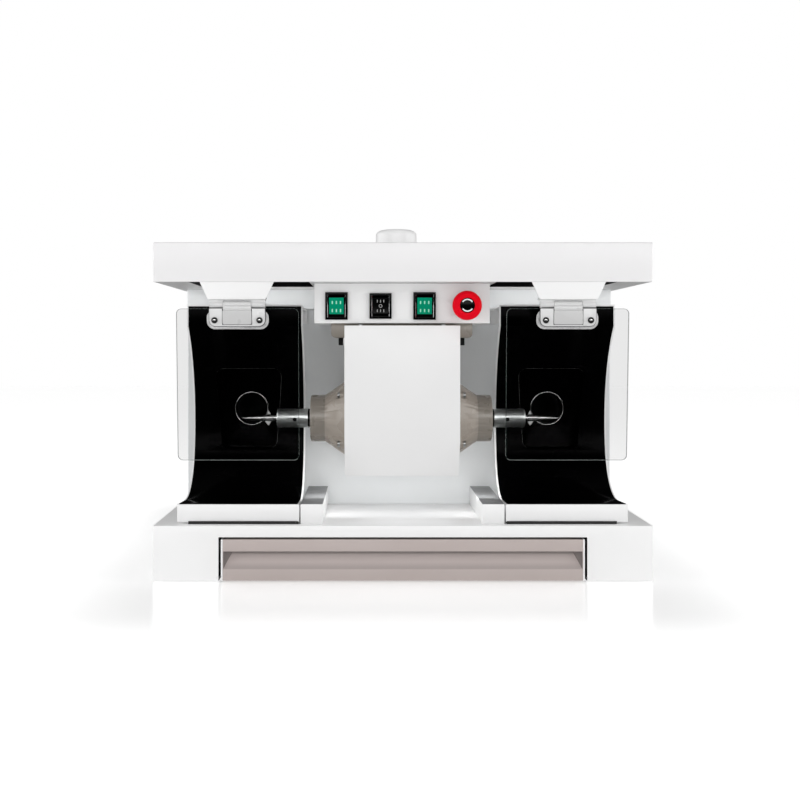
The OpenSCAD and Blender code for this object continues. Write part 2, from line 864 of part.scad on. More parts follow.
// A strip of the hood's section between two offsets, from the top edge to the floor
module hood_strip(near, far, top, floor_front) {
    back = hood_line(far, top);
    polygon(concat(hood_line(near, top),
                   [[floor_front, hood_floor_z + lip_rise - near], [floor_front, hood_floor_z + lip_rise - far]],
                   [for (i = [len(back) - 1:-1:0]) back[i]]));
}

// Everything in front of the hood's line at an offset
module hood_front_region(offset) {
    polygon(concat(hood_line(offset, hood_top_z + 10),
                   [[-20, hood_floor_z - offset], [-20, hood_top_z + 10]]));
}

module hood_x_span(inset) {
    translate([0, front_y, 0])
        along_x([hood_x - hood_w / 2 + inset, hood_x + hood_w / 2 - inset]) children();
}

// The pocket's outline pushed from in front of the sheet to a depth
module pocket_prism(grow, depth) {
    low = pocket_z[0] - grow;
    high = pocket_z[1] + grow;
    outline = [[-pocket_w[0] / 2 - grow, low], [pocket_w[0] / 2 + grow, low],
               [pocket_w[1] / 2 + grow, high], [-pocket_w[1] / 2 - grow, high]];
    translate([hood_x, 0, 0])
        along_y([front_y + 100, front_y + depth]) polygon(rounded(outline, 12 + grow));
}

module port_hole() {
    port_axis(1) rod_y([front_y + pocket_depth - 10, front_y + pocket_depth + 10], port_r + 0.1);
}

// Bent sheet with its lip, hanging flange, supports and the pressed pocket
module hood() {
    lip = lip_depth;
    flange_z = header_z - 0.2;
    color(white)
    difference() {
        union() {
            hood_x_span(0) {
                hood_strip(liner, liner + sheet, hood_top_z, lip);
                translate([lip, lip_bottom])
                    square([sheet, hood_floor_z + lip_rise - liner - lip_bottom]);
                translate([lip, lip_bottom]) square([12, sheet]);
                // flange under the header, and its tab on the wall
                translate([upright_depth + liner + sheet / 2, flange_z - sheet])
                    square([wall_depth - upright_depth - liner - sheet / 2, sheet]);
                translate([wall_depth - sheet, flange_z - 22]) square([sheet, 22]);
            }
            // two webs that stand on the base under the floor
            for (x = [hood_x - 61, hood_x + 61])
                block([x - sheet / 2, x + sheet / 2], [front_y + 40, front_y + 70],
                      [base_top, hood_floor_z - liner - sheet / 2]);
            difference() {
                pocket_prism(liner + sheet, pocket_depth + liner + sheet);
                hood_x_span(0) hood_front_region(liner + sheet / 2);
            }
        }
        pocket_prism(liner, pocket_depth + liner);
        port_hole();
    }
}

module hood_right() {
    hood();
}

module hood_left() {
    left_side() hood();
}

// Glossy lining of the hood and of its pocket
module hood_liner() {
    color(gloss_black)
    difference() {
        union() {
            hood_x_span(liner_inset) hood_strip(0, liner, hood_top_z - 2.5, lip_depth + sheet + 1);
            difference() {
                pocket_prism(liner, pocket_depth + liner);
                hood_x_span(0) hood_front_region(liner / 2);
            }
        }
        pocket_prism(0, pocket_depth);
        port_hole();
    }
}

module hood_liner_right() {
    hood_liner();
}

module hood_liner_left() {
    left_side() hood_liner();
}

// Chromed pipes through the pockets' backs, each with two small clips
module suction_ports() {
    wall = 1.5;
    rim_y = front_y + pocket_depth - 2;
    color([0.8, 0.8, 0.82])
    both_sides()
        port_axis(1) {
            difference() {
                rod_y([rim_y, wall_y + 14], port_r);
                rod_y([rim_y - over, wall_y + 15], port_r - wall);
            }
            along_y([front_y + pocket_depth - 1.5, front_y + pocket_depth]) {
                polygon([[-port_r + 0.8, -2], [-port_r - 3.5, -9], [-port_r + 3, -9]]);
                polygon([[-port_r - 4.5, -19], [-port_r + 5.5, -19], [-port_r, -26]]);
            }
        }
}

// ---- Suction inside the housing ----

// Two bent pipes from the ports into the sides of the filter box
module duct(side, end_x) {
    start = wall_y + sheet;
    module run(r, past) {
        port_axis(side) rod_y([start - past, duct_y], r);
        translate([side * hood_x, duct_y, vent_z]) sphere(r);
        translate([0, duct_y, vent_z])
            rod_x(side > 0 ? [end_x - past, hood_x] : [-hood_x, end_x + past], r);
    }
    difference() {
        run(duct_r, 0);
        run(port_r + 0.05, over);
    }
}

module suction_ducts() {
    color([0.25, 0.25, 0.27]) {
        duct(-1, filter_x[0]);
        duct(1, filter_x[1]);
    }
}

filter_floor = base_top + sheet;
filter_top = 345;
module filter_box() {
    wall = 2;
    color(galvanised)
    difference() {
        block(filter_x, filter_y, [filter_floor, filter_top]);
        block(filter_x + [wall, -wall], filter_y + [wall, -wall], [filter_floor + wall, filter_top - wall]);
        translate([0, duct_y, vent_z]) rod_x([filter_x[0] - over, filter_x[1] + over], port_r);
        translate([blower[0], 0, blower[1]]) rod_y([filter_y[1] - wall - over, filter_y[1] + over], blower_inlet_r);
    }
}

// Pleated filter paper between two end caps, behind the ducts' mouths
module filter_cartridge() {
    pleats = 16;
    pitch = (filter_x[1] - filter_x[0] - 12) / pleats;
    paper = 1;
    deep = [filter_y[1] - 8, filter_y[1] - 30 + 9];
    edge = function (shift) [
        for (i = [0:2 * pleats])
            [filter_x[0] + 6 + i * pitch / 2, (i % 2 == 0 ? deep[0] : deep[1]) + shift]
    ];
    back = edge(paper);
    color([0.85, 0.82, 0.7]) {
        translate([0, 0, filter_floor + 12])
            linear_extrude(filter_top - filter_floor - 24)
                polygon(concat(edge(0), [for (i = [len(back) - 1:-1:0]) back[i]]));
        for (z = [filter_floor + 2, filter_top - 12])
            block([filter_x[0] + 3, filter_x[1] - 3], [deep[1] - 3, deep[0] + 3], [z, z + 10]);
    }
}

// Scroll of the blower, open upwards into the exhaust pipe
module scroll_outline(r) {
    translate(blower) circle(r);
    translate([-35 + 85 - r, blower[1]]) square([70 - 2 * (85 - r), canopy_z - sheet - blower[1]]);
}

module blower_casing() {
    wall = 2;
    color(galvanised)
    difference() {
        along_y(blower_y) scroll_outline(85);
        along_y(blower_y + [wall, -wall]) scroll_outline(85 - wall);
        translate([blower[0], 0, blower[1]]) rod_y([blower_y[0] - over, blower_y[0] + 5], blower_inlet_r);
        translate([blower[0], 0, blower[1]]) rod_y([blower_y[1] - 5, blower_y[1] + over], 5);
        translate([exhaust[0], exhaust[1], canopy_z - 2 * sheet - over]) cylinder(r = exhaust_r, h = 5);
    }
}

module blower_motor() {
    color([0.3, 0.3, 0.32])
    translate([blower[0], 0, blower[1]])
        difference() {
            union() {
                rod_y([blower_y[1], blower_y[1] + 30], 36);
                rod_y([blower_y[1], blower_y[1] + 36], 12);
            }
            rod_y([blower_y[1] - over, blower_y[1] + 33], 4 + fit);
        }
}

// Back plate, hub with its shaft, curved ring of blades and front ring
module blower_wheel() {
    blades = 24;
    wheel_r = 72;
    y = [blower_y[0] + 8, blower_y[1] - 8];
    color([0.5, 0.5, 0.52])
    translate([blower[0], 0, blower[1]]) {
        rod_y([y[1] - 2, y[1]], wheel_r);
        rod_y([y[1] - 18, y[1]], 12);
        rod_y([y[1] - 1, blower_y[1] + 32], 4);
        difference() {
            rod_y([y[0], y[0] + 2], wheel_r);
            rod_y([y[0] - over, y[0] + 3], wheel_r - 16);
        }
        along_y([y[0] + 1, y[1] - 1])
            for (i = [0:blades - 1])
                rotate(i * 360 / blades)
                    translate([wheel_r - 15, 0]) rotate(25) square([14, 1.2]);
    }
}

// Appliance inlet with three blades in its recess
module power_inlet() {
    color([0.08, 0.08, 0.08])
    translate([inlet[0], 0, inlet[1]]) {
        difference() {
            union() {
                block([-25, 25], [panel_y + sheet, panel_y + sheet + 2], [-13, 13]);
                block([-13.8, 13.8], [panel_y - 18, panel_y + sheet + 1], [-10.3, 10.3]);
            }
            block([-12, 12], [panel_y - 15, panel_y + sheet + 3], [-8.3, 8.3]);
        }
        for (p = [[-7, -2.5], [0, 3], [7, -2.5]])
            block([p[0] - 1, p[0] + 1], [panel_y - 16, panel_y - 5], [p[1] - 2, p[1] + 2]);
    }
}

// ---- Shields ----

// White angle behind the canopy's front edge that carries the hinge
module shield_brackets() {
    plate_y = [front_y + sheet, front_y + 2 * sheet];
    low = hinge_z + 7;
    color(white)
    both_sides()
        translate([shield_x, 0, 0]) {
            along_y(plate_y)
                polygon([[-38.8, low], [38.8, low], [49.8, canopy_z], [49.8, canopy_z + 20],
                         [-49.8, canopy_z + 20], [-49.8, canopy_z]]);
            block([-38.8, 38.8], [plate_y[0], front_y + 22], [low, low + sheet]);
        }
}

// Everything of a hinge and its shield is drawn about the hinge's axis
module at_hinge() {
    translate([shield_x, hinge_y, hinge_z]) children();
}

knuckle_x = [19.2, 37.6];
module hinge_bases() {
    color(hinge_grey)
    both_sides()
        at_hinge() {
            difference() {
                union() {
                    block([-knuckle_x[1], knuckle_x[1]], [-3, 10], [5.4, 7]);
                    for (x = [[-knuckle_x[1], -knuckle_x[0]], knuckle_x]) {
                        rod_x(x, knuckle_r);
                        block(x, [-3, 3], [0, 6]);
                    }
                }
                rod_x([-knuckle_x[1] - over, knuckle_x[1] + over], pin_r);
            }
        }
}

module hinge_pins() {
    color(steel)
    both_sides()
        at_hinge() rod_x([-knuckle_x[1], knuckle_x[1]], pin_r);
}

module leaning() {
    at_hinge() rotate([shield_lean, 0, 0]) children();
}

// Layers of a shield, from front to back: leaf, clear sheet, clamp plate
sheet_y = [-shield_t / 2 - 1, shield_t / 2 - 1];
leaf_y = [sheet_y[0] - 3, sheet_y[0]];
clamp_y = [sheet_y[1], sheet_y[1] + 2.5];
shield_screw = [30.35, -21];

module shield_screw_holes(r) {
    for (x = [-shield_screw[0], shield_screw[0]])
        translate([x, 0, shield_screw[1]]) rod_y([leaf_y[0] - 3, clamp_y[1] + 3], r);
}

module shield_sheet() {
    top = -5.5;
    color([0.8, 0.9, 0.88, 0.35])
    leaning()
        difference() {
            along_y(sheet_y)
                translate([0, top - shield_h / 2]) polygon(rounded(rectangle(shield_w, shield_h), 7));
            shield_screw_holes(2.6);
        }
}

// Leaf with its middle knuckle and a raised pad
module hinge_leaf() {
    mid = knuckle_x[0] - 0.3;
    color(hinge_grey)
    leaning()
        difference() {
            union() {
                rod_x([-mid, mid], knuckle_r);
                along_x([-mid, mid])
                    polygon([[leaf_y[0], -9], [leaf_y[1], -9], [leaf_y[1], -5.2], [0, -4.5], [0, 0],
                             [-4.5, -1], [leaf_y[0], -5.2]]);
                along_y(leaf_y)
                    polygon(concat([[37.5, -5.2], [-37.5, -5.2]],
                                   arc_points([-29.5, -21], 8, 180, 270, 6),
                                   arc_points([29.5, -21], 8, 270, 360, 6)));
                along_y([leaf_y[0] - 1, leaf_y[0] + over])
                    translate([0, -17]) polygon(rounded(rectangle(39, 19), 2));
            }
            rod_x([-mid - over, mid + over], pin_r + fit);
            shield_screw_holes(2.6);
        }
}

module clamp_plate() {
    color(hinge_grey)
    leaning()
        difference() {
            along_y(clamp_y)
                translate([0, -20.2]) polygon(rounded(rectangle(83.7, 26.6), 11));
            shield_screw_holes(2.6);
        }
}

module shield_screws() {
    color(steel)
    leaning()
        for (x = [-shield_screw[0], shield_screw[0]])
            translate([x, 0, shield_screw[1]]) {
                rod_y([leaf_y[0] - 1, clamp_y[1] + 2.5], 2.5);
                rod_y([leaf_y[0] - 2, leaf_y[0]], 4.2);
                translate([0, clamp_y[1] + 2.5, 0])
                    rotate([90, 0, 0]) cylinder(r = 4.4, h = 2.5, $fn = 6);
            }
}

module shield_sheet_right() {
    shield_sheet();
}

module shield_sheet_left() {
    left_side() shield_sheet();
}

module hinge_leaf_right() {
    hinge_leaf();
}

module hinge_leaf_left() {
    left_side() hinge_leaf();
}

module clamp_plate_right() {
    clamp_plate();
}

module clamp_plate_left() {
    left_side() clamp_plate();
}

module shield_screws_right() {
    shield_screws();
}

module shield_screws_left() {
    left_side() shield_screws();
}

base_cabinet();
feet();
drawer_runners();
rear_housing();
rear_panel();
housing_screws();
canopy();
exhaust_cap();
lamp_tubes();
lamp_holders();
control_box();
switch_bezels();
estop_collar();
motor_body();
end_bell_left();
end_bell_right();
bell_screws();
motor_bearings();
motor_bracket();
terminal_box();
motor_cover();
base_rails();
hood_left();
hood_right();
hood_liner_left();
hood_liner_right();
suction_ports();
shield_brackets();
hinge_bases();
hinge_pins();
suction_ducts();
filter_box();
filter_cartridge();
blower_casing();
blower_motor();
power_inlet();
rotor_shaft();
rotor_core();
chuck_left();
chuck_right();
spindle_left();
spindle_right();
set_screws();
shield_sheet_left();
shield_sheet_right();
hinge_leaf_left();
hinge_leaf_right();
clamp_plate_left();
clamp_plate_right();
shield_screws_left();
shield_screws_right();
drawer_front();
drawer_box();
drawer_slides();
rocker_left();
rocker_middle();
rocker_right();
estop_stem();
estop_head();
blower_wheel();
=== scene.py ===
import json
import math

import bmesh
import bpy
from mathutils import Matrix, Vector


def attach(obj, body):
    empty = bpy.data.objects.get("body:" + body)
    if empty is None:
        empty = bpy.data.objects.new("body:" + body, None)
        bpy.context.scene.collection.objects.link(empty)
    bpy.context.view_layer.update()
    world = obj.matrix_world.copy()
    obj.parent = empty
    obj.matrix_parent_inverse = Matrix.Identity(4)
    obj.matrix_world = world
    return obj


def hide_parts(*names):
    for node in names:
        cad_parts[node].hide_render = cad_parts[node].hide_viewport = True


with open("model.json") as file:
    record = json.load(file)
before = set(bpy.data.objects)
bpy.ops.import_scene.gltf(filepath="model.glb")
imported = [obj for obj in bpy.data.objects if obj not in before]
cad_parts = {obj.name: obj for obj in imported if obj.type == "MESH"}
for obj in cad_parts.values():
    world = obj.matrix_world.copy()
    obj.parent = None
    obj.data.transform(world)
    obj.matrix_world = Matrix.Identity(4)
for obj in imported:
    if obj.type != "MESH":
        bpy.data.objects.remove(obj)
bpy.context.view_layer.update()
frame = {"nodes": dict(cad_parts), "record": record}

mm = 0.001
deg = math.pi / 180
square = 0.9             # how much of a direction lies along an axis that it counts as square to
weld = 0.002 * mm        # corners nearer to each other than this are one
touch = 0.01 * mm        # places nearer than this are the same place
scene = bpy.context.scene

# the camera is level, at a standing person's chest, a little left of the middle
cameraSet = {"place": (-0.0427, -1.740, 0.317), "turn": (90 * deg, 0, 0), "sensor": 36, "lens": 50.37,
             "shiftX": 0.03625, "shiftY": -0.0675}
bpy.ops.object.select_all(action="DESELECT")
bpy.ops.object.camera_add(location=cameraSet["place"], rotation=cameraSet["turn"])
camera = bpy.context.object
camera.name = "studioCamera"
camera.data.sensor_width = cameraSet["sensor"]
camera.data.lens = cameraSet["lens"]
camera.data.shift_x = cameraSet["shiftX"]
camera.data.shift_y = cameraSet["shiftY"]
scene.camera = camera
print("camera set")


# small helpers for the bench work

def within(value, span):
    return span[0] < value < span[1]


def letGo():
    bpy.ops.object.select_all(action="DESELECT")


def takeAll():
    bpy.ops.mesh.select_all(action="SELECT")


def workOn(piece):
    if bpy.context.object and bpy.context.object.mode != "OBJECT":
        bpy.ops.object.mode_set(mode="OBJECT")
    letGo()
    piece.select_set(True)
    bpy.context.view_layer.objects.active = piece


def startEdit(piece, kind="FACE"):
    workOn(piece)
    bpy.ops.object.mode_set(mode="EDIT")
    bpy.ops.mesh.select_mode(type=kind)
    bpy.ops.mesh.select_all(action="DESELECT")


def endEdit():
    bpy.ops.object.mode_set(mode="OBJECT")


def pick(piece, parts, wanted):
    # parts are the mesh's faces or its edges, each wanted by its middle and its direction
    shape = bmesh.from_edit_mesh(piece.data)
    for part in getattr(shape, parts):
        part.select_set(False)
    for part in getattr(shape, parts):
        if parts == "faces":
            middle, way = part.calc_center_median(), part.normal
        else:
            a, b = part.verts[0].co, part.verts[1].co
            middle, way = (a + b) / 2, (b - a).normalized()
        if wanted(middle, way):
            part.select_set(True)
    bmesh.update_edit_mesh(piece.data)


def settle(piece, name):
    workOn(piece)
    bpy.ops.object.transform_apply(location=True, rotation=True, scale=True)
    piece.name = name
    piece.data.name = name
    return piece


def facesOut(piece):
    startEdit(piece)
    takeAll()
    bpy.ops.mesh.normals_make_consistent(inside=False)
    endEdit()


def blockOf(name, x, y, z):
    # a block from its lowest and highest X, Y and Z in millimetres
    letGo()
    middle = [(a[0] + a[1]) / 2 * mm for a in (x, y, z)]
    bpy.ops.mesh.primitive_cube_add(size=1, location=middle)
    piece = bpy.context.object
    piece.scale = [(a[1] - a[0]) * mm for a in (x, y, z)]
    return settle(piece, name)


def plateOf(name, outline, y):
    # a plate along Y, cut to an outline of [x, z] in millimetres
    letGo()
    bpy.ops.mesh.primitive_circle_add(vertices=len(outline), radius=0.01, fill_type="NGON")
    piece = bpy.context.object
    for corner, place in zip(piece.data.vertices, outline):
        corner.co = (place[0] * mm, y[0] * mm, place[1] * mm)
    settle(piece, name)
    startEdit(piece)
    takeAll()
    bpy.ops.mesh.extrude_region_move(TRANSFORM_OT_translate={"value": (0, (y[1] - y[0]) * mm, 0)})
    endEdit()
    facesOut(piece)
    return piece


def roundCorners(middle, half, radius, steps):
    # the outline of a rectangle with round corners, from its middle and half its size
    outline = []
    x, z = half[0] - radius, half[1] - radius
    for cornerX, cornerZ, start in ((x, z, 0), (-x, z, 90), (-x, -z, 180), (x, -z, 270)):
        for step in range(steps + 1):
            angle = (start + 90 * step / steps) * deg
            outline.append((middle[0] + cornerX + radius * math.cos(angle),
                            middle[1] + cornerZ + radius * math.sin(angle)))
    return outline


def roundEdges(piece, wanted, width, steps=3):
    startEdit(piece, "EDGE")
    pick(piece, "edges", wanted)
    bpy.ops.mesh.bevel(offset=width * mm, segments=steps, affect="EDGES", clamp_overlap=True)
    endEdit()


def pushFaces(piece, wanted, move, inset=0):
    # the faces wanted, drawn in by an inset and pushed along a vector in millimetres
    startEdit(piece)
    pick(piece, "faces", wanted)
    if inset:
        bpy.ops.mesh.inset(thickness=inset * mm, depth=0)
    bpy.ops.mesh.extrude_region_move(TRANSFORM_OT_translate={"value": [v * mm for v in move]})
    endEdit()


def cutAt(piece, planes):
    # new edges where planes cross the piece, each plane given by its axis and place
    startEdit(piece)
    for axis, place in planes:
        takeAll()
        across = [1 if axis == letter else 0 for letter in "xyz"]
        bpy.ops.mesh.bisect(plane_co=[v * place * mm for v in across], plane_no=across)
    endEdit()


def softenEdges(piece, width, steps=2, angle=40):
    workOn(piece)
    bevel = piece.modifiers.new("softEdges", "BEVEL")
    bevel.width = width * mm
    bevel.segments = steps
    bevel.limit_method = "ANGLE"
    bevel.angle_limit = angle * deg
    bpy.ops.object.modifier_apply(modifier=bevel.name)


def smooth(piece, angle=32):
    workOn(piece)
    bpy.ops.object.shade_smooth_by_angle(angle=angle * deg)
    return piece


# a node's loose triangles are joined at their corners and across faces that are this flat
flatSet = {"weld": 2 * weld, "angle": 0.6 * deg}


def takeShape(node, name, edge, steps=2, angle=40):
    # a copy of a node's shape with its corners joined, its flats made whole and its edges softened
    piece = bpy.data.objects.new(name, frame["nodes"][node].data.copy())
    scene.collection.objects.link(piece)
    piece.data.materials.clear()
    startEdit(piece, "VERT")
    takeAll()
    bpy.ops.mesh.remove_doubles(threshold=flatSet["weld"])
    bpy.ops.mesh.dissolve_limited(angle_limit=flatSet["angle"])
    endEdit()
    softenEdges(piece, edge, steps, angle)
    return smooth(piece)


def turned(name, outline, place, axis, steps=64, angle=360, start=0):
    # a turned piece: its outline is [radius, distance along the axis] in millimetres
    along = {"x": Vector((1, 0, 0)), "y": Vector((0, 1, 0)), "z": Vector((0, 0, 1))}[axis]
    up = {"x": Vector((0, 0, 1)), "y": Vector((0, 0, 1)), "z": Vector((1, 0, 0))}[axis]
    out = up * math.cos(start * deg) + along.cross(up) * math.sin(start * deg)
    centre = Vector(place) * mm
    letGo()
    first = centre + out * outline[0][0] * mm + along * outline[0][1] * mm
    bpy.ops.mesh.primitive_plane_add(size=mm, location=first)
    piece = settle(bpy.context.object, name)
    startEdit(piece, "VERT")
    takeAll()
    bpy.ops.mesh.merge(type="CENTER")
    for before, after in zip(outline, outline[1:]):
        step = out * (after[0] - before[0]) * mm + along * (after[1] - before[1]) * mm
        bpy.ops.mesh.extrude_region_move(TRANSFORM_OT_translate={"value": step})
    takeAll()
    bpy.ops.mesh.remove_doubles(threshold=weld)
    if angle < 360:
        bpy.ops.mesh.edge_face_add()
    bpy.ops.mesh.spin(steps=steps, angle=angle * deg, center=centre, axis=along)
    takeAll()
    bpy.ops.mesh.remove_doubles(threshold=weld)
    bpy.ops.mesh.normals_make_consistent(inside=False)
    endEdit()
    return smooth(piece)


def cutAway(piece, tool):
    # takes a cutter's shape out of a piece
    workOn(piece)
    cut = piece.modifiers.new("cut", "BOOLEAN")
    cut.operation = "DIFFERENCE"
    cut.solver = "EXACT"
    cut.object = tool
    bpy.ops.object.modifier_apply(modifier=cut.name)
    bpy.data.objects.remove(tool, do_unlink=True)


def finish(piece, material, body, slotName, *nodes):
    if not piece.data.materials:
        piece.data.materials.append(material)
    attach(piece, body)
    if nodes:
        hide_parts(*nodes)


def paintFaces(piece, materials, choose):
    # several finishes on one piece: choose gives a face's place in the list
    piece.data.materials.clear()
    for material in materials:
        piece.data.materials.append(material)
    for face in piece.data.polygons:
        face.material_index = choose(face.center, face.normal)


def joinUp(pieces, name):
    workOn(pieces[0])
    for piece in pieces:
        piece.select_set(True)
    bpy.ops.object.join()
    joined = bpy.context.object
    joined.name = name
    joined.data.name = name
    return joined


def mirrorOf(piece, name):
    # a copy with its own mesh, mirrored across the middle
    twin = piece.copy()
    twin.data = piece.data.copy()
    scene.collection.objects.link(twin)
    twin.scale = (-1, 1, 1)
    settle(twin, name)
    facesOut(twin)
    return twin


def bothSides(piece, name):
    return joinUp([piece, mirrorOf(piece, name + "Left")], name)


def lean(piece, angle, about):
    # turns a piece about an axis along X, at a point in millimetres
    startEdit(piece, "VERT")
    takeAll()
    bpy.ops.transform.rotate(value=-angle * deg, orient_axis="X", orient_type="GLOBAL",
                             center_override=[v * mm for v in about])
    endEdit()


# finishes: how large the drift of colour and of gloss is, how strong the relief, the noise's used range
finishSet = {"paint": {"drift": 7, "gloss": 40, "relief": 0.35}, "metal": {"gloss": 60, "relief": 0.3},
             "clear": {"drift": 12, "gloss": 30}, "noise": (0.35, 0.65), "taupe": (1, 0.87, 0.835)}


def addNode(tree, kind, values={}, links={}, **options):
    # a shader node with its options, the values of its sockets and what feeds them
    node = tree.nodes.new("ShaderNode" + kind)
    for option, value in options.items():
        setattr(node, option, value)
    for socket, value in values.items():
        node.inputs[socket].default_value = value
    for socket, source in links.items():
        tree.links.new(source, node.inputs[socket])
    return node


def finishBase(name, values):
    material = bpy.data.materials.new(name)
    material.use_nodes = True
    shader = material.node_tree.nodes["Principled BSDF"]
    for socket, value in values.items():
        shader.inputs[socket].default_value = value
    return material, material.node_tree, shader


def addNoise(tree, scale, detail=2, stretch=(1, 1, 1)):
    place = addNode(tree, "TexCoord")
    mapping = addNode(tree, "Mapping", {"Scale": stretch}, {"Vector": place.outputs["Object"]})
    noise = addNode(tree, "TexNoise", {"Scale": scale, "Detail": detail},
                    {"Vector": mapping.outputs["Vector"]})
    return noise.outputs["Fac"]


def spread(tree, value, low, high):
    # stretches a noise's middle range over two values
    first, last = finishSet["noise"]
    ranged = addNode(tree, "MapRange", {"From Min": first, "From Max": last, "To Min": low, "To Max": high},
                     {"Value": value})
    return ranged.outputs["Result"]


def driftColour(tree, shader, noise, colour, drift):
    # the base colour wanders between the colour and a slightly darker one
    darker = [max(0, c - drift) for c in colour]
    mix = addNode(tree, "Mix", {"A": (*colour, 1), "B": (*darker, 1)}, {"Factor": spread(tree, noise, 0, 1)},
                  data_type="RGBA")
    tree.links.new(mix.outputs["Result"], shader.inputs["Base Color"])


def driftGloss(tree, shader, noise, gloss):
    tree.links.new(spread(tree, noise, *gloss), shader.inputs["Roughness"])


def relief(tree, noise, shader, depth, strength):
    bump = addNode(tree, "Bump", {"Strength": strength, "Distance": depth * mm}, {"Height": noise})
    tree.links.new(bump.outputs["Normal"], shader.inputs["Normal"])


def paintFinish(name, colour, drift, gloss, peel, grain=420, specular=0.5):
    # sprayed or moulded finish: colour drift over the sheet, gloss drift and a fine orange peel
    material, tree, shader = finishBase(name, {"Specular IOR Level": specular})
    sizes = finishSet["paint"]
    driftColour(tree, shader, addNoise(tree, sizes["drift"]), colour, drift)
    driftGloss(tree, shader, addNoise(tree, sizes["gloss"], 3), gloss)
    relief(tree, addNoise(tree, grain), shader, peel, sizes["relief"])
    return material


def metalFinish(name, colour, drift, gloss, brush, stretch, depth):
    # metal with brush or turning lines drawn out along one direction
    material, tree, shader = finishBase(name, {"Metallic": 1})
    sizes = finishSet["metal"]
    lines = addNoise(tree, brush, 3, stretch)
    driftColour(tree, shader, lines, colour, drift)
    driftGloss(tree, shader, addNoise(tree, sizes["gloss"], 3), gloss)
    relief(tree, lines, shader, depth, sizes["relief"])
    return material


def clearFinish(name, colour, drift, alpha, gloss, specular):
    material, tree, shader = finishBase(name, {"Base Color": (*colour, 1), "Alpha": alpha,
                                               "Specular IOR Level": specular})
    sizes = finishSet["clear"]
    if drift:
        driftColour(tree, shader, addNoise(tree, sizes["drift"]), colour, drift)
    driftGloss(tree, shader, addNoise(tree, sizes["gloss"]), gloss)
    return material


def pocketShadeFinish(name, socketName, span, stops):
    # the drawer's paint with painted shade that changes along one direction, darker where the pocket lies in
    # shade: each stop is [place, level]
    material = paintFinish(name, (0.5, 0.5, 0.5), *drawerCoat)
    tree = material.node_tree
    place = addNode(tree, "TexCoord")
    parts = addNode(tree, "SeparateXYZ", links={"Vector": place.outputs["Object"]})
    size = addNode(tree, "Math", links={0: parts.outputs[socketName]}, operation="ABSOLUTE")
    ranged = addNode(tree, "MapRange", {"From Min": span[0] * mm, "From Max": span[1] * mm},
                     {"Value": size.outputs["Value"]})
    shade = addNode(tree, "ValToRGB", links={"Fac": ranged.outputs["Result"]})
    while len(shade.color_ramp.elements) < len(stops):
        shade.color_ramp.elements.new(0.5)
    for element, (at, level) in zip(shade.color_ramp.elements, stops):
        element.position = at
        element.color = (*[level * part for part in finishSet["taupe"]], 1)
    tree.links.new(shade.outputs["Color"], tree.nodes["Principled BSDF"].inputs["Base Color"])
    return material


# paints: colour, drift, lowest and highest roughness, peel in millimetres, then its grain and the specular
whitePaint = paintFinish("whitePaint", (0.88, 0.88, 0.88), 0.012, (0.30, 0.40), 0.03)
# the housing, cover and canopy paints are darker copies of the white paint, and the cap's paint is a lighter
# one: painted shade and painted light for how light falls on those parts
housingShadedWhite = paintFinish("housingShadedWhite", (0.79, 0.805, 0.81), 0.012, (0.34, 0.44), 0.03)
coverShadedWhite = paintFinish("coverShadedWhite", (0.80, 0.80, 0.80), 0.012, (0.30, 0.40), 0.03)
canopyShadedWhite = paintFinish("canopyShadedWhite", (0.80, 0.795, 0.80), 0.012, (0.30, 0.40), 0.03)
capLitWhite = paintFinish("capLitWhite", (0.95, 0.95, 0.95), 0.012, (0.30, 0.40), 0.02)
# painted shade: the canopy's underside is a darker grey
lidUndersideShade = paintFinish("lidUndersideShade", (0.59, 0.59, 0.59), 0.012, (0.40, 0.50), 0.03)
# painted shade: a darker grey for the rails' tops and the motor shelf
paintedShadeGrey = paintFinish("paintedShadeGrey", (0.26, 0.265, 0.27), 0.015, (0.36, 0.46), 0.03)
taupePaint = paintFinish("taupePaint", (0.355, 0.315, 0.275), 0.02, (0.24, 0.34), 0.05, 300, 0.6)
# painted shade: a darker copy of the taupe for the collars' rims and the terminal box
shadedTaupe = paintFinish("shadedTaupe", (0.25, 0.225, 0.195), 0.015, (0.24, 0.34), 0.05, 300, 0.6)
drawerCoat = (0.015, (0.40, 0.50), 0.02, 600)
drawerTaupe = paintFinish("drawerTaupe", (0.475, 0.413, 0.394), *drawerCoat)
# painted shade in the drawer's pocket: darkest under the upper band, darker towards the sill and towards the
# ends
pocketShadeTaupe = pocketShadeFinish("pocketShadeTaupe", "Z", (18, 41.5), [
    (0, 0.42), (0.12, 0.43), (0.35, 0.56), (0.72, 0.62), (0.84, 0.40), (0.93, 0.14), (1, 0.05)])
pocketEndShade = pocketShadeFinish("pocketEndShade", "X", (227, 241), [(0, 0.36), (0.55, 0.22), (1, 0.14)])
linerBlack = paintFinish("linerBlack", (0.0006, 0.0006, 0.0007), 0.0003, (0.12, 0.20), 0.004, 200, 0.015)
# painted highlight: a lighter grey along the linings' pocket edges
linerEdgeHighlight = paintFinish("linerEdgeHighlight", (0.11, 0.11, 0.11), 0.04, (0.3, 0.4), 0.01)
# painted shade: a near-black for the lamp recesses, behind the drawer's opening and on the motor cover's ear
# ends
paintedShadeBlack = paintFinish("paintedShadeBlack", (0.006, 0.006, 0.006), 0.002, (0.5, 0.6), 0.02, 420, 0.2)
# gloss black plastic, also the chucks' band of painted shade
glossBlackAndShade = paintFinish("glossBlackAndShade", (0.0012, 0.0012, 0.0014), 0.0004, (0.14, 0.20), 0.008, 500, 0.07)
# matt black, also the painted shade in the hinge leaf's groove
mattBlackAndShade = paintFinish("mattBlackAndShade", (0.035, 0.035, 0.038), 0.008, (0.55, 0.7), 0.05, 700)
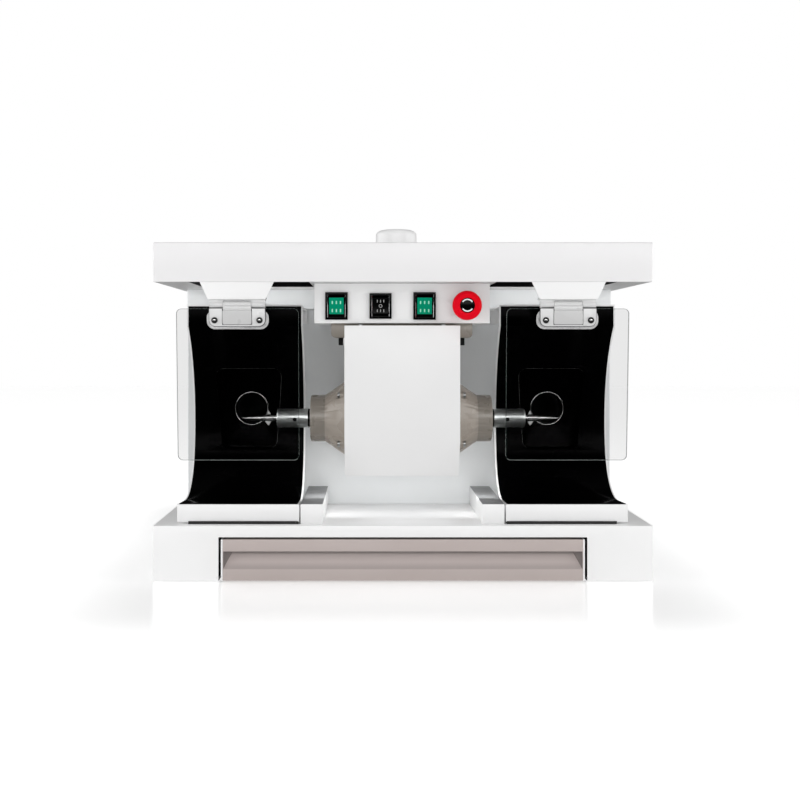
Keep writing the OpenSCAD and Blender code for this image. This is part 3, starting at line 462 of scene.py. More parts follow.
# rubber black for the feet, also the strip of painted shade under the hoods' lips
rubberAndShadeBlack = paintFinish("rubberAndShadeBlack", (0.03, 0.03, 0.03), 0.006, (0.7, 0.85), 0.08, 500, 0.3)
redPlastic = paintFinish("redPlastic", (0.70, 0.0005, 0.016), 0.02, (0.28, 0.36), 0.01, 500, 0.08)
greenLens = paintFinish("greenLens", (0.0005, 0.27, 0.145), 0.0003, (0.10, 0.18), 0.008, 300, 0.06)
markMint = paintFinish("markMint", (0.36, 0.78, 0.60), 0.02, (0.4, 0.5), 0.01, 420, 0.2)
markWhite = paintFinish("markWhite", (0.74, 0.78, 0.78), 0.02, (0.4, 0.5), 0.01)
markGrey = paintFinish("markGrey", (0.34, 0.34, 0.34), 0.03, (0.4, 0.5), 0.01, 420, 0.1)
lampGlass = paintFinish("lampGlass", (0.80, 0.80, 0.77), 0.02, (0.2, 0.3), 0.005)
lampPlastic = paintFinish("lampPlastic", (0.62, 0.62, 0.61), 0.02, (0.4, 0.5), 0.02)
hingeAlloy = paintFinish("hingeAlloy", (0.66, 0.66, 0.66), 0.02, (0.26, 0.36), 0.03, 350, 0.7)
clampAlloy = paintFinish("clampAlloy", (0.88, 0.88, 0.88), 0.02, (0.26, 0.36), 0.03, 350, 0.7)
padAlloy = paintFinish("padAlloy", (0.56, 0.56, 0.56), 0.02, (0.26, 0.36), 0.03, 350, 0.7)
filterPaper = paintFinish("filterPaper", (0.70, 0.66, 0.53), 0.05, (0.85, 0.95), 0.1, 900, 0.1)
# metals: colour, drift, roughness, then how fine the lines are, how they stretch and how deep they go
galvanised = metalFinish("galvanised", (0.60, 0.61, 0.62), 0.10, (0.36, 0.50), 90, (1, 1, 1), 0.01)
plainSteel = metalFinish("plainSteel", (0.50, 0.51, 0.51), 0.06, (0.26, 0.36), 500, (1, 0.2, 0.2), 0.01)
turnedSteel = metalFinish("turnedSteel", (0.80, 0.83, 0.82), 0.07, (0.34, 0.42), 2200, (1, 0.02, 0.02), 0.006)
brightSteel = metalFinish("brightSteel", (0.80, 0.80, 0.80), 0.05, (0.16, 0.24), 2500, (1, 0.02, 0.02), 0.006)
# dark steel, also the screws' washers of painted shade
darkSteelAndShade = metalFinish("darkSteelAndShade", (0.055, 0.055, 0.055), 0.02, (0.35, 0.5), 500, (1, 1, 1), 0.01)
edgeShine = metalFinish("edgeShine", (0.42, 0.42, 0.43), 0.04, (0.20, 0.30), 300, (1, 1, 1), 0.004)
chromePlate = metalFinish("chromePlate", (0.86, 0.86, 0.87), 0.03, (0.05, 0.09), 200, (1, 1, 1), 0.002)
# clear plastic: colour, drift, how much of it shows, roughness, specular
clearSheet = clearFinish("clearSheet", (0, 0, 0), 0, 0.10, (0.03, 0.05), 0.005)
clearEdge = clearFinish("clearEdge", (0.055, 0.075, 0.07), 0.02, 0.60, (0.12, 0.2), 0.1)
# painted highlight: the clear sheets' bottom edges are a lighter grey
clearFootHighlight = clearFinish("clearFootHighlight", (0.34, 0.37, 0.36), 0.06, 0.55, (0.12, 0.2), 0.2)

slotFinish = {
    "white_paint": whitePaint, "taupe_paint": taupePaint, "drawer_taupe": drawerTaupe,
    "black_gloss": linerBlack, "black_plastic": glossBlackAndShade, "green_lens": greenLens,
    "red_plastic": redPlastic, "dark_plastic": mattBlackAndShade, "foot_rubber": rubberAndShadeBlack,
    "galvanised": galvanised, "steel": plainSteel, "bright_steel": brightSteel,
    "dark_steel": darkSteelAndShade, "chrome": chromePlate, "hinge_alloy": hingeAlloy,
    "clear_sheet": clearSheet, "lamp_glass": lampGlass, "lamp_plastic": lampPlastic,
    "filter_paper": filterPaper,
}
for part in frame["record"]["subparts"]:
    node = frame["nodes"][part["node"]]
    node.data.materials.clear()
    node.data.materials.append(slotFinish[part["material_slot"]])
print("finishes made for", len(frame["nodes"]), "nodes")

# folded sheet metal takes its shape from the frame: node, then name, softened edge and paint
foldedSheets = {
    "base_cabinet": ("baseShell", 0.7, whitePaint), "rear_housing": ("rearShell", 0.7, housingShadedWhite),
    "rear_panel": ("rearPanel", 0.3, whitePaint), "control_box": ("controlBoxShell", 0.8, whitePaint),
    "motor_cover": ("coverSheet", 0.5, coverShadedWhite), "base_rails": ("railSheets", 0.6, whitePaint),
    "hood_left": ("hoodSheetLeft", 0.4, whitePaint), "hood_right": ("hoodSheetRight", 0.4, whitePaint),
    # the motor shelf is painted grey: painted shade
    "shield_brackets": ("shieldAngles", 0.4, whitePaint), "motor_bracket": ("motorShelf", 0.5, paintedShadeGrey),
}
sheetSet = {"openingX": (246, 330), "lintelX": 248, "lintelZ": (58, 62), "railTop": 102.9, "ear": 81.5}


def baseFinish(at, way):
    # the partitions behind the drawer's opening and its lintel's underside are painted near-black: painted
    # shade for the dark gap round the drawer
    x = abs(at.x) / mm
    partition = abs(way.x) > square and within(x, sheetSet["openingX"])
    lintel = way.z < -square and x < sheetSet["lintelX"] and within(at.z / mm, sheetSet["lintelZ"])
    return int(partition or lintel)


def coverFinish(at, way):
    # the ears beside the terminal box are painted near-black towards their ends: painted shade
    return int(abs(at.x) / mm > sheetSet["ear"])


def railFinish(at, way):
    # the rails' tops are painted a darker grey: painted shade
    return int(way.z > square and at.z / mm > sheetSet["railTop"])


sheetFinishes = {"baseShell": ([whitePaint, paintedShadeBlack], baseFinish),
                 "railSheets": ([whitePaint, paintedShadeGrey], railFinish),
                 "coverSheet": ([coverShadedWhite, paintedShadeBlack], coverFinish)}
for node, (name, edge, paint) in foldedSheets.items():
    piece = takeShape(node, name, edge)
    if name == "coverSheet":
        cutAt(piece, [("x", side * sheetSet["ear"]) for side in (-1, 1)])
        smooth(piece)
    if name in sheetFinishes:
        paintFaces(piece, *sheetFinishes[name])
    finish(piece, paint, "cabinet", "white_paint", node)
print("sheet metal folded")

# linings: glossy black, with a painted highlight, a lighter grey, along the pressed pocket's sides and top
pocketSet = {"x": 222.5, "side": (30, 50), "top": (278, 286), "slope": 0.25, "over": 0.6, "edge": 0.45}


def liningFinish(at, way):
    x, z = pocketSet["x"] - abs(at.x) / mm, at.z / mm
    side = within(x, pocketSet["side"]) and abs(way.x) > pocketSet["slope"]
    top = abs(x) < pocketSet["side"][1] and within(z, pocketSet["top"]) and way.z < -pocketSet["over"]
    return int((side or top) and way.y < -pocketSet["slope"])


for node, name in (("hood_liner_left", "liningLeft"), ("hood_liner_right", "liningRight")):
    lining = takeShape(node, name, pocketSet["edge"], 3)
    paintFaces(lining, [linerBlack, linerEdgeHighlight], liningFinish)
    finish(lining, linerBlack, "cabinet", "black_gloss", node)

# a black strip fills the gap under each hood's lip: painted shade for the gap's darkness
stripSet = {"x": (141, 290), "y": (-226.2, -213), "z": (76, 80), "edge": 0.5}
strip = blockOf("lipStrip", stripSet["x"], stripSet["y"], stripSet["z"])
softenEdges(strip, stripSet["edge"])
finish(smooth(bothSides(strip, "lipStrips")), rubberAndShadeBlack, "cabinet", "foot_rubber")

# the canopy is one folded lid with two lamp recesses underneath
canopySet = {"x": (-335, 335), "y": (-240, 240), "z": (403, 456), "edge": 1.4, "inside": (404, 454),
             "recessX": (126, 288), "recessY": (-238, -112), "recessUp": 38, "wall": 0.5}
canopyShell = blockOf("canopyShell", canopySet["x"], canopySet["y"], canopySet["z"])
roundEdges(canopyShell, lambda at, way: True, canopySet["edge"])
recessSides = [side * x for side in (-1, 1) for x in canopySet["recessX"]]
cutAt(canopyShell, [("x", x) for x in recessSides] + [("y", y) for y in canopySet["recessY"]])


def overRecess(at):
    return within(abs(at.x) / mm, canopySet["recessX"]) and within(at.y / mm, canopySet["recessY"])


def canopyFinish(at, way):
    # the recesses' own walls and tops are painted near-black inside, and the lid's underside a darker grey:
    # both painted shade
    if overRecess(at + way * canopySet["wall"] * mm) and within(at.z / mm, canopySet["inside"]):
        return 1
    return 2 if way.z < -square else 0


pushFaces(canopyShell, lambda at, way: overRecess(at) and way.z < -square, (0, 0, canopySet["recessUp"]))
smooth(canopyShell)
paintFaces(canopyShell, [canopyShadedWhite, paintedShadeBlack, lidUndersideShade], canopyFinish)
finish(canopyShell, canopyShadedWhite, "cabinet", "white_paint", "canopy")
print("canopy made")

# exhaust pipe with its flange, and the domed cap on four ribs
exhaustSet = {"place": (0, 160, 0), "cap": 34.5, "top": 513, "wall": 2.5, "crown": 12, "flat": 0.75,
              "steps": 8,
              "pipe": [(26, 403), (28, 403), (28, 456), (46, 456), (46, 457.2), (45.2, 458), (29.5, 458),
                       (28, 459.5), (28, 491.5), (27.5, 492), (26.5, 492), (26, 491.5), (26, 403)],
              "lip": [(34.5, 470.6), (33.9, 470), (32.4, 470), (32, 470.6)],
              "ribReach": (27.5, 33.5), "ribThick": (-1, 1), "ribZ": (472, 490), "ribEdge": 0.3}


def domeLine(radius, top):
    line = []
    for step in range(exhaustSet["steps"] + 1):
        angle = 90 * deg * step / exhaustSet["steps"]
        line.append((radius - exhaustSet["crown"] * (1 - math.sin(angle)),
                     top - exhaustSet["crown"] * (1 - math.cos(angle)) * exhaustSet["flat"]))
    return line


exhaustPipe = turned("exhaustPipe", exhaustSet["pipe"], exhaustSet["place"], "z")
capRadius, capTop, wall = exhaustSet["cap"], exhaustSet["top"], exhaustSet["wall"]
capInside = list(reversed(domeLine(capRadius - wall, capTop - wall)))
capLine = [(0, capTop)] + domeLine(capRadius, capTop) + exhaustSet["lip"] + capInside + [(0, capTop - wall)]
exhaustDome = turned("exhaustDome", capLine, exhaustSet["place"], "z")
ribs = []
for alongX, side in ((True, 1), (True, -1), (False, 1), (False, -1)):
    reach = sorted(side * v for v in exhaustSet["ribReach"])
    x, y = (reach, exhaustSet["ribThick"]) if alongX else (exhaustSet["ribThick"], reach)
    ribs.append(blockOf("exhaustRib", x, [v + exhaustSet["place"][1] for v in y], exhaustSet["ribZ"]))
    softenEdges(ribs[-1], exhaustSet["ribEdge"])
finish(joinUp([exhaustPipe, exhaustDome] + ribs, "exhaustCap"), capLitWhite, "cabinet", "white_paint",
       "exhaust_cap")

# lamps: glass tubes with metal caps, each in two holders
lampSet = {"y": -174, "z": 428, "reach": (138, 276), "cap": 10.2,
           "end": [(0, 138), (7.2, 138), (7.8, 138.6), (7.8, 148), (7.4, 148), (8, 150)],
           "holderX": (132, 282), "holderHalf": (6, 12, 11), "holderRound": 5, "holderEdge": 0.5}
nearEnd, farEnd = lampSet["reach"]
tubeLine = lampSet["end"] + [(radius, nearEnd + farEnd - at) for radius, at in reversed(lampSet["end"])]
lampTubes = bothSides(turned("lampTube", tubeLine, (0, lampSet["y"], lampSet["z"]), "x", 48), "lampTubes")


def lampFinish(at, way):
    return int(min(abs(at.x) / mm - nearEnd, farEnd - abs(at.x) / mm) < lampSet["cap"])


paintFaces(lampTubes, [lampGlass, galvanised], lampFinish)
finish(lampTubes, lampGlass, "cabinet", "lamp_glass", "lamp_tubes")
holders = []
for x in lampSet["holderX"]:
    spans = [(v - half, v + half) for v, half in zip((x, lampSet["y"], lampSet["z"]), lampSet["holderHalf"])]
    holder = blockOf("lampHolder", *spans)
    roundEdges(holder, lambda at, way: abs(way.x) > square and at.z < lampSet["z"] * mm,
               lampSet["holderRound"], 5)
    softenEdges(holder, lampSet["holderEdge"])
    holders += [holder, mirrorOf(holder, "lampHolderLeft")]
finish(smooth(joinUp(holders, "lampHolders")), lampPlastic, "cabinet", "lamp_plastic", "lamp_holders")
print("exhaust cap and lamps made")

# drawer front: an upper and a lower band with a scooped finger pocket between them
drawerSet = {"half": 241.5, "y": (-239.5, -220), "z": (2.5, 57.6), "pocketZ": (18, 41.5), "pocketHalf": 241,
             "deepHalf": 228.5, "deep": 16, "scoop": 1.1, "rows": 6, "edge": 0.45, "trayEdge": 0.25}
drawerFace = blockOf("drawerFace", (-drawerSet["half"], drawerSet["half"]), drawerSet["y"], drawerSet["z"])
frontY = drawerSet["y"][0] * mm
deepY = frontY + drawerSet["deep"] * mm
lowZ, highZ = [z * mm for z in drawerSet["pocketZ"]]


def pocketEdge(at, way, y, z):
    # an edge along the pocket, at a depth and a height
    return abs(way.x) > square and abs(at.x) < 0.01 and abs(at.y - y) < touch and abs(at.z - z) < touch


cutAt(drawerFace, [("z", z) for z in drawerSet["pocketZ"]]
      + [("x", side * drawerSet["pocketHalf"]) for side in (-1, 1)])
startEdit(drawerFace)
pick(drawerFace, "faces", lambda at, way: way.y < -square and within(at.z, (lowZ, highZ)) and abs(at.x) < 0.2)
bpy.ops.mesh.delete(type="ONLY_FACE")
bpy.ops.mesh.select_mode(type="EDGE")
pick(drawerFace, "edges", lambda at, way: pocketEdge(at, way, frontY, highZ))
bpy.ops.mesh.extrude_region_move(TRANSFORM_OT_translate={"value": (0, drawerSet["deep"] * mm, 0)})
bpy.ops.transform.resize(value=(drawerSet["deepHalf"] / drawerSet["pocketHalf"], 1, 1),
                         center_override=(0, frontY, highZ))
pick(drawerFace, "edges",
     lambda at, way: pocketEdge(at, way, frontY, lowZ) or pocketEdge(at, way, deepY, highZ))
bpy.ops.mesh.edge_face_add()
takeAll()
bpy.ops.mesh.fill_holes(sides=4)
# the scoop: the sloping face is cut across and its middle rows pushed back
for row in range(1, drawerSet["rows"]):
    bpy.ops.mesh.select_all(action="DESELECT")
    pick(drawerFace, "faces", lambda at, way: way.y < -0.3 and way.z > 0.2)
    level = lowZ + (highZ - lowZ) * row / drawerSet["rows"]
    bpy.ops.mesh.bisect(plane_co=(0, 0, level), plane_no=(0, 0, 1))
shape = bmesh.from_edit_mesh(drawerFace.data)
for corner in shape.verts:
    part = (corner.co.z - lowZ) / (highZ - lowZ)
    if within(part, (0.01, 0.99)) and within(corner.co.y, (frontY + touch, deepY)):
        corner.co.y += drawerSet["scoop"] * mm * math.sin(part * math.pi)
bmesh.update_edit_mesh(drawerFace.data)
takeAll()
bpy.ops.mesh.remove_doubles(threshold=weld)
bpy.ops.mesh.normals_make_consistent(inside=False)
endEdit()
softenEdges(drawerFace, drawerSet["edge"], 2, 50)
smooth(drawerFace, 25)


def drawerFinish(at, way):
    # the pocket's sloping face and its two ends, which take the pocket's painted shade
    inside = within(at.y, (frontY + 0.3 * mm, deepY + 0.5 * mm)) and abs(at.x) < drawerSet["pocketHalf"] * mm
    if inside and within(at.z, (lowZ, highZ)):
        return 2 if abs(way.x) > 0.3 else 1
    return 0


paintFaces(drawerFace, [drawerTaupe, pocketShadeTaupe, pocketEndShade], drawerFinish)
finish(drawerFace, drawerTaupe, "drawer", "drawer_taupe", "drawer_front")
drawerTray = takeShape("drawer_box", "drawerTray", drawerSet["trayEdge"])
finish(drawerTray, whitePaint, "drawer", "white_paint", "drawer_box")
print("drawer made")

# motor castings and the terminal box above them: node, then name and softened edge
castings = {"motor_body": ("motorBarrel", 0.5), "end_bell_left": ("bellLeft", 0.45),
            "end_bell_right": ("bellRight", 0.45), "terminal_box": ("terminalHousing", 0.9)}
motorSet = {"y": -140, "z": 214, "collarFrom": 109, "collarRadius": 30, "chuckEdge": 0.25, "chuckBand": 132.4}


def bellFinish(at, way):
    # the rim of the collar at each bell's outer end is painted a darker taupe: painted shade
    away = math.hypot(at.y / mm - motorSet["y"], at.z / mm - motorSet["z"])
    return int(abs(at.x) / mm > motorSet["collarFrom"] and away > motorSet["collarRadius"])


for node, (name, edge) in castings.items():
    casting = takeShape(node, name, edge)
    if name.startswith("bell"):
        paintFaces(casting, [taupePaint, shadedTaupe], bellFinish)
    # the terminal box is painted the darker taupe: painted shade
    finish(casting, shadedTaupe if node == "terminal_box" else taupePaint, "cabinet", "taupe_paint", node)

# chucks keep their bore and set screw hole, with broken edges and a band painted black at the collar: painted
# shade for the gap there
for side, sign in (("left", -1), ("right", 1)):
    chuck = takeShape("chuck_" + side, "chuck" + side.title(), motorSet["chuckEdge"], 2, 30)
    cutAt(chuck, [("x", sign * motorSet["chuckBand"])])
    paintFaces(chuck, [turnedSteel, glossBlackAndShade], lambda at, way: int(abs(at.x) < motorSet["chuckBand"] * mm))
    finish(smooth(chuck), turnedSteel, "motor_rotor", "steel", "chuck_" + side)

# spindles: shank, shoulder and a taper that starts with a fine screw thread
spindleSet = {"shank": [(0, 158), (5.3, 158), (5.3, 176.4), (5.5, 176.4), (5.7, 176.7), (5.7, 178.1),
                        (5.4, 178.4), (5.2, 179.4)],
              "root": (5.2, 179.4), "middle": (3.74, 204.4), "tip": (0.7, 226.2),
              "point": [(0.45, 226.7), (0, 227)], "taper": (202, 204.4, 208, 213, 218, 223, 226.2),
              "thread": (180.4, 200), "pitch": 1.5, "depth": 0.34, "ring": 0.25, "fade": (2, 6), "steps": 36}


def taperAt(x):
    low, high = spindleSet["root"], spindleSet["middle"]
    if x > high[1]:
        low, high = high, spindleSet["tip"]
    return low[0] + (high[0] - low[0]) * (x - low[1]) / (high[1] - low[1])


threadStart, threadEnd = spindleSet["thread"]
rings = round((threadEnd - threadStart) / spindleSet["ring"])
tapered = [threadStart + i * spindleSet["ring"] for i in range(rings + 1)] + list(spindleSet["taper"])
spindleLine = spindleSet["shank"] + [(taperAt(x), x) for x in tapered] + spindleSet["point"]
spindleRight = turned("spindleRight", spindleLine, (0, motorSet["y"], motorSet["z"]), "x",
                      spindleSet["steps"])
for corner in spindleRight.data.vertices:
    x = corner.co.x / mm
    if within(x, (threadStart - 0.01, threadEnd + 0.01)):
        outY, outZ = corner.co.y - motorSet["y"] * mm, corner.co.z - motorSet["z"] * mm
        turn = math.atan2(outZ, outY) / (2 * math.pi)
        wave = 0.5 - 0.5 * math.cos(2 * math.pi * (x / spindleSet["pitch"] - turn))
        fadeIn, fadeOut = spindleSet["fade"]
        fade = max(0, min(1, (x - threadStart) / fadeIn, (threadEnd - x) / fadeOut))
        scale = 1 - spindleSet["depth"] * fade * wave / taperAt(x)
        corner.co.y = motorSet["y"] * mm + outY * scale
        corner.co.z = motorSet["z"] * mm + outZ * scale
smooth(spindleRight, 60)
finish(spindleRight, brightSteel, "motor_rotor", "bright_steel", "spindle_right")
spindleLeft = mirrorOf(spindleRight, "spindleLeft")
finish(spindleLeft, brightSteel, "motor_rotor", "bright_steel", "spindle_left")
print("motor, chucks and spindles made")

# suction pipes with a rolled rim, and their small clips
pipeSet = {"x": 222.5, "z": 223, "y": (-53, -16), "outer": 25.35, "inner": 23.85, "rimSteps": 8,
           "clips": ([(-24.55, -2), (-28.85, -9), (-22.35, -9)],
                     [(-29.85, -19), (-19.85, -19), (-25.35, -26)]),
           "clipY": (-52.5, -51), "clipEdge": 0.4}
outer, inner, (rimY, endY) = pipeSet["outer"], pipeSet["inner"], pipeSet["y"]
rimRound = (outer - inner) / 2
rimTurns = [180 * deg * step / pipeSet["rimSteps"] for step in range(pipeSet["rimSteps"] + 1)]
rimLine = [(inner + rimRound * (1 - math.cos(a)), rimY + rimRound * (1 - math.sin(a))) for a in rimTurns]
suctionPipe = turned("suctionPipe", [(inner, endY)] + rimLine + [(outer, endY), (inner, endY)],
                     (pipeSet["x"], 0, pipeSet["z"]), "y", 96)
suctionPipe.data.materials.append(brightSteel)
clips = []
for outline in pipeSet["clips"]:
    clip = plateOf("pipeClip", [(pipeSet["x"] + x, pipeSet["z"] + z) for x, z in outline], pipeSet["clipY"])
    softenEdges(clip, pipeSet["clipEdge"])
    clip.data.materials.append(clampAlloy)
    clips.append(clip)
suctionPipes = bothSides(joinUp([suctionPipe] + clips, "suctionPipe"), "suctionPipes")
finish(smooth(suctionPipes), brightSteel, "cabinet", "chrome", "suction_ports")
print("suction pipes made")

# rocker switches: frame with a raised rim, rocker, and plain marks printed on it
switchSet = {"z": 372, "face": -200, "frame": 3, "rimProud": 1.5, "border": 3.8, "rim": 1.6, "deep": 24.5,
             "body": 22, "inset": 1.5, "bright": 0.9, "edge": 0.2, "axisY": -197, "rockerFace": -203.2,
             "rise": 2.4, "flat": 4.1, "rockerEdge": 0.7, "lens": (10.0, 11.2), "markDeep": (0.12, 0.3),
             "ring": [(1.7, -0.6), (1.7, 0.6), (2.5, 0.6), (2.5, -0.6), (1.7, -0.6)], "ringProud": 0.1}
greenMarks = {"paint": markMint, "half": (0.85, 2.2), "pitch": 5.6, "row": 5.6}
greyMarks = {"paint": markGrey, "half": (0.55, 1.95), "pitch": 4.4, "row": 6.6}
greenSwitch = {"w": 30.8, "h": 37.7, "tilt": 7, "lens": "green_lens", "marks": greenMarks}
blackSwitch = {"w": 30.3, "h": 35.1, "tilt": 0, "lens": "black_plastic", "marks": greyMarks}
switches = {"Left": {"x": -90.2, **greenSwitch}, "Middle": {"x": -29.6, **blackSwitch},
            "Right": {"x": 30.9, **greenSwitch}}


def switchFrame(switch):
    half, tall = switch["w"] / 2, switch["h"] / 2
    z, front = switchSet["z"], switchSet["face"] - switchSet["frame"]
    piece = blockOf("switchFrame", (switch["x"] - half, switch["x"] + half), (front, switchSet["face"]),
                    (z - tall, z + tall))
    pushFaces(piece, lambda at, way: way.y < -square and at.y < front * mm + touch,
              (0, -switchSet["rimProud"], 0), switchSet["border"] - switchSet["rim"])
    pushFaces(piece, lambda at, way: way.y < -square and at.y < (front - 1) * mm,
              (0, switchSet["deep"], 0), switchSet["rim"])
    pushFaces(piece, lambda at, way: way.y > square, (0, switchSet["body"], 0), switchSet["inset"])
    rimX = half - switchSet["border"]
    upright = lambda at, way: abs(way.z) > square and abs(abs(at.x / mm - switch["x"]) - rimX) < 0.05
    roundEdges(piece, lambda at, way: upright(at, way) and at.y < front * mm, switchSet["bright"], 1)
    paintFaces(piece, [glossBlackAndShade, edgeShine],
               lambda at, way: int(within(abs(way.x), (0.3, 0.95)) and within(way.y, (-0.95, -0.3))))
    softenEdges(piece, switchSet["edge"])
    return smooth(piece)


frames = [switchFrame(switch) for switch in switches.values()]
finish(joinUp(frames, "switchFrames"), glossBlackAndShade, "cabinet", "black_plastic", "switch_bezels")


def faceAt(switch, z):
    # the rocker's face is hollow: it rises from its middle towards its two ends
    return switchSet["rockerFace"] - switchSet["rise"] * abs(z) / (switch["h"] / 2 - switchSet["flat"])


def dashes(switch):
    # two rows of three dashes, each leant onto the hollow face and tipped with the rocker
    marks, style = [], switch["marks"]
    dip = math.degrees(math.atan2(switchSet["rise"], switch["h"] / 2 - switchSet["flat"]))
    for z, slope in ((style["row"], dip), (-style["row"], -dip)):
        for step in (-style["pitch"], 0, style["pitch"]):
            y, middle = faceAt(switch, z), (switch["x"] + step, switchSet["z"] + z)
            mark = plateOf("dash", roundCorners(middle, style["half"], 0.5, 3),
                           (y - switchSet["markDeep"][0], y + switchSet["markDeep"][1]))
            lean(mark, slope, (0, y, switchSet["z"] + z))
            lean(mark, switch["tilt"], (0, switchSet["axisY"], switchSet["z"]))
            marks.append(mark)
    return marks


for name, switch in switches.items():
    node, body = "rocker_" + name.lower(), name.lower() + "_rocker"
    rocker, marks = takeShape(node, "rocker" + name, switchSet["rockerEdge"], 3), dashes(switch)
    if switch["lens"] == "green_lens":
        # the lens is let into a black rim
        lensX, lensZ = switchSet["lens"]
        cutAt(rocker, [("x", switch["x"] + side * lensX) for side in (-1, 1)]
              + [("z", switchSet["z"] + side * lensZ) for side in (-1, 1)])
        smooth(rocker)
        onLens = lambda at: abs(at.x / mm - switch["x"]) < lensX and abs(at.z / mm - switchSet["z"]) < lensZ
        paintFaces(rocker, [glossBlackAndShade, greenLens], lambda at, way: int(way.y < -0.8 and onLens(at)))
    else:
        ringFace = faceAt(switch, 0) - switchSet["ringProud"]
        marks.append(turned("ring", switchSet["ring"], (switch["x"], ringFace, switchSet["z"]), "y", 24))
    finish(rocker, glossBlackAndShade, body, switch["lens"], node)
    finish(smooth(joinUp(marks, "marks" + name)), switch["marks"]["paint"], body, "white_paint")
print("switches made")

# stop button: mushroom head with a dark disc in its middle and two light arcs, no lettering
stopSet = {"place": (87.6, -230, 372), "head": 20, "crown": 6, "steps": 8, "collarEdge": 0.5,
           "under": [(6.05, 8), (6.05, 15), (9.6, 15), (10, 14.6), (11, 12.3), (11.6, 12), (16.6, 12),
                     (17.2, 11.7), (19.8, 9.3), (20, 8.8)],
           "dish": [(10.8, 0.05), (10.4, 0.3), (10.2, 1.2), (0, 1.2), (0, 8), (6.05, 8)],
           "disc": [(0, 0.5), (9.4, 0.5), (9.9, 0.8), (10.1, 1.4), (0, 1.4), (0, 0.5)],
           "arc": [(7.0, 0.38), (8.8, 0.38), (8.8, 0.8), (7.0, 0.8), (7.0, 0.38)], "arcSpan": 110}
crownLine = []
for step in range(stopSet["steps"] + 1):
    angle = 90 * deg * (1 - step / stopSet["steps"])
    crownLine.append((stopSet["head"] - stopSet["crown"] * (1 - math.sin(angle)),
                      stopSet["crown"] * (1 - math.cos(angle))))
stopHead = turned("stopHead", stopSet["under"] + crownLine + stopSet["dish"], stopSet["place"], "y", 96)
finish(stopHead, redPlastic, "estop_button", "red_plastic", "estop_head")
stopDisc = turned("stopDisc", stopSet["disc"], stopSet["place"], "y")
finish(stopDisc, glossBlackAndShade, "estop_button", "black_plastic")
arcStart = stopSet["arcSpan"] / 2
arcs = [turned("arc", stopSet["arc"], stopSet["place"], "y", 24, stopSet["arcSpan"], start)
        for start in (arcStart, 180 + arcStart)]
finish(smooth(joinUp(arcs, "stopArcs")), markWhite, "estop_button", "white_paint")
stopCollar = takeShape("estop_collar", "stopCollar", stopSet["collarEdge"], 3)
finish(stopCollar, glossBlackAndShade, "cabinet", "black_plastic", "estop_collar")
print("stop button made")

# shields: clear sheet between a leaf and a clamp plate, all leaning back about the hinge; every place
# below is measured from the hinge's axis at the shield's middle
shieldSet = {"axis": (223, -229, 373), "lean": 4, "basesEdge": 0.4,
             "sheet": {"half": (82.5, 103.25), "z": -108.75, "y": (-3.25, 1.25), "corner": (7, 8),
                       "edge": 0.4},
             "clamp": {"half": (41.85, 13.3), "z": -20.2, "y": (1.25, 3.75), "corner": (11, 8), "edge": 1.0},
             "pad": {"half": (19.5, 9.5), "z": -17, "y": (-7.25, -5.9), "corner": (2, 4), "edge": 0.6}}
leafSet = {"y": (-6.25, -3.75), "darkPlateY": (-3.75, -3.25), "darkPlateProud": 0.8, "edge": 0.45, "half": 37.5,
           "top": -5.2, "corner": (29.5, -21, 8), "groove": (20.1, -27.1, 0.6), "grooveTop": -6,
           "knuckle": [(2.05, -18.9), (4.2, -18.9), (4.6, -18.5), (4.6, 18.5), (4.2, 18.9), (2.05, 18.9),
                       (2.05, -18.9)],
           "neckX": (-18.9, 18.9), "neckY": (-5.9, -3.25), "neckZ": (-9, -1.6), "neckRound": (-2, 1.2)}
hingeX, hingeY, hingeZ = shieldSet["axis"]


def roundPlate(name, plate, steps=3, angle=40):
    # a plate with round corners, from half its size, its height, its thickness and its corners' radius
    outline = roundCorners((hingeX, hingeZ + plate["z"]), plate["half"], *plate["corner"])
    piece = plateOf(name, outline, [v + hingeY for v in plate["y"]])
    softenEdges(piece, plate["edge"], steps, angle)
    return smooth(piece)


sheetRight = roundPlate("clearSheetRight", shieldSet["sheet"], 1, 60)
# the sheet's edges take a green tint, and its bottom edges a lighter grey: a painted highlight
paintFaces(sheetRight, [clearSheet, clearEdge, clearFootHighlight],
           lambda at, way: 0 if abs(way.y) > 0.95 else 2 if way.z < -0.5 else 1)
clampRight = roundPlate("clampPlateRight", shieldSet["clamp"])


# the leaf: a plate with round lower corners, its raised pad, and the knuckle on a folded neck; a thin dark
# plate, a little larger than the leaf, lies between the leaf and the sheet
def leafPlateOf(name, grow, y):
    half, top = leafSet["half"] + grow, leafSet["top"] + grow
    cornerX, cornerZ, radius = leafSet["corner"]
    outline = [(half, top), (-half, top)]
    for middle, start in ((-cornerX, 180), (cornerX, 270)):
        turns = [(start + 15 * i) * deg for i in range(7)]
        outline += [(middle + (radius + grow) * math.cos(a), cornerZ + (radius + grow) * math.sin(a))
                    for a in turns]
    return plateOf(name, [(hingeX + x, hingeZ + z) for x, z in outline], [v + hingeY for v in y])


leafDarkPlate = leafPlateOf("leafDarkPlate", leafSet["darkPlateProud"], leafSet["darkPlateY"])
leafPlate = leafPlateOf("leafPlate", 0, leafSet["y"])
softenEdges(leafPlate, leafSet["edge"])
grooveX, grooveZ, grooveDeep = leafSet["groove"]
cutAt(leafPlate, [("x", hingeX - grooveX), ("x", hingeX + grooveX), ("z", hingeZ + grooveZ)])


def inGroove(at, slack=0):
    x, z = at.x / mm - hingeX, at.z / mm - hingeZ
    return abs(x) < grooveX + slack and within(z, (grooveZ - slack, leafSet["grooveTop"]))


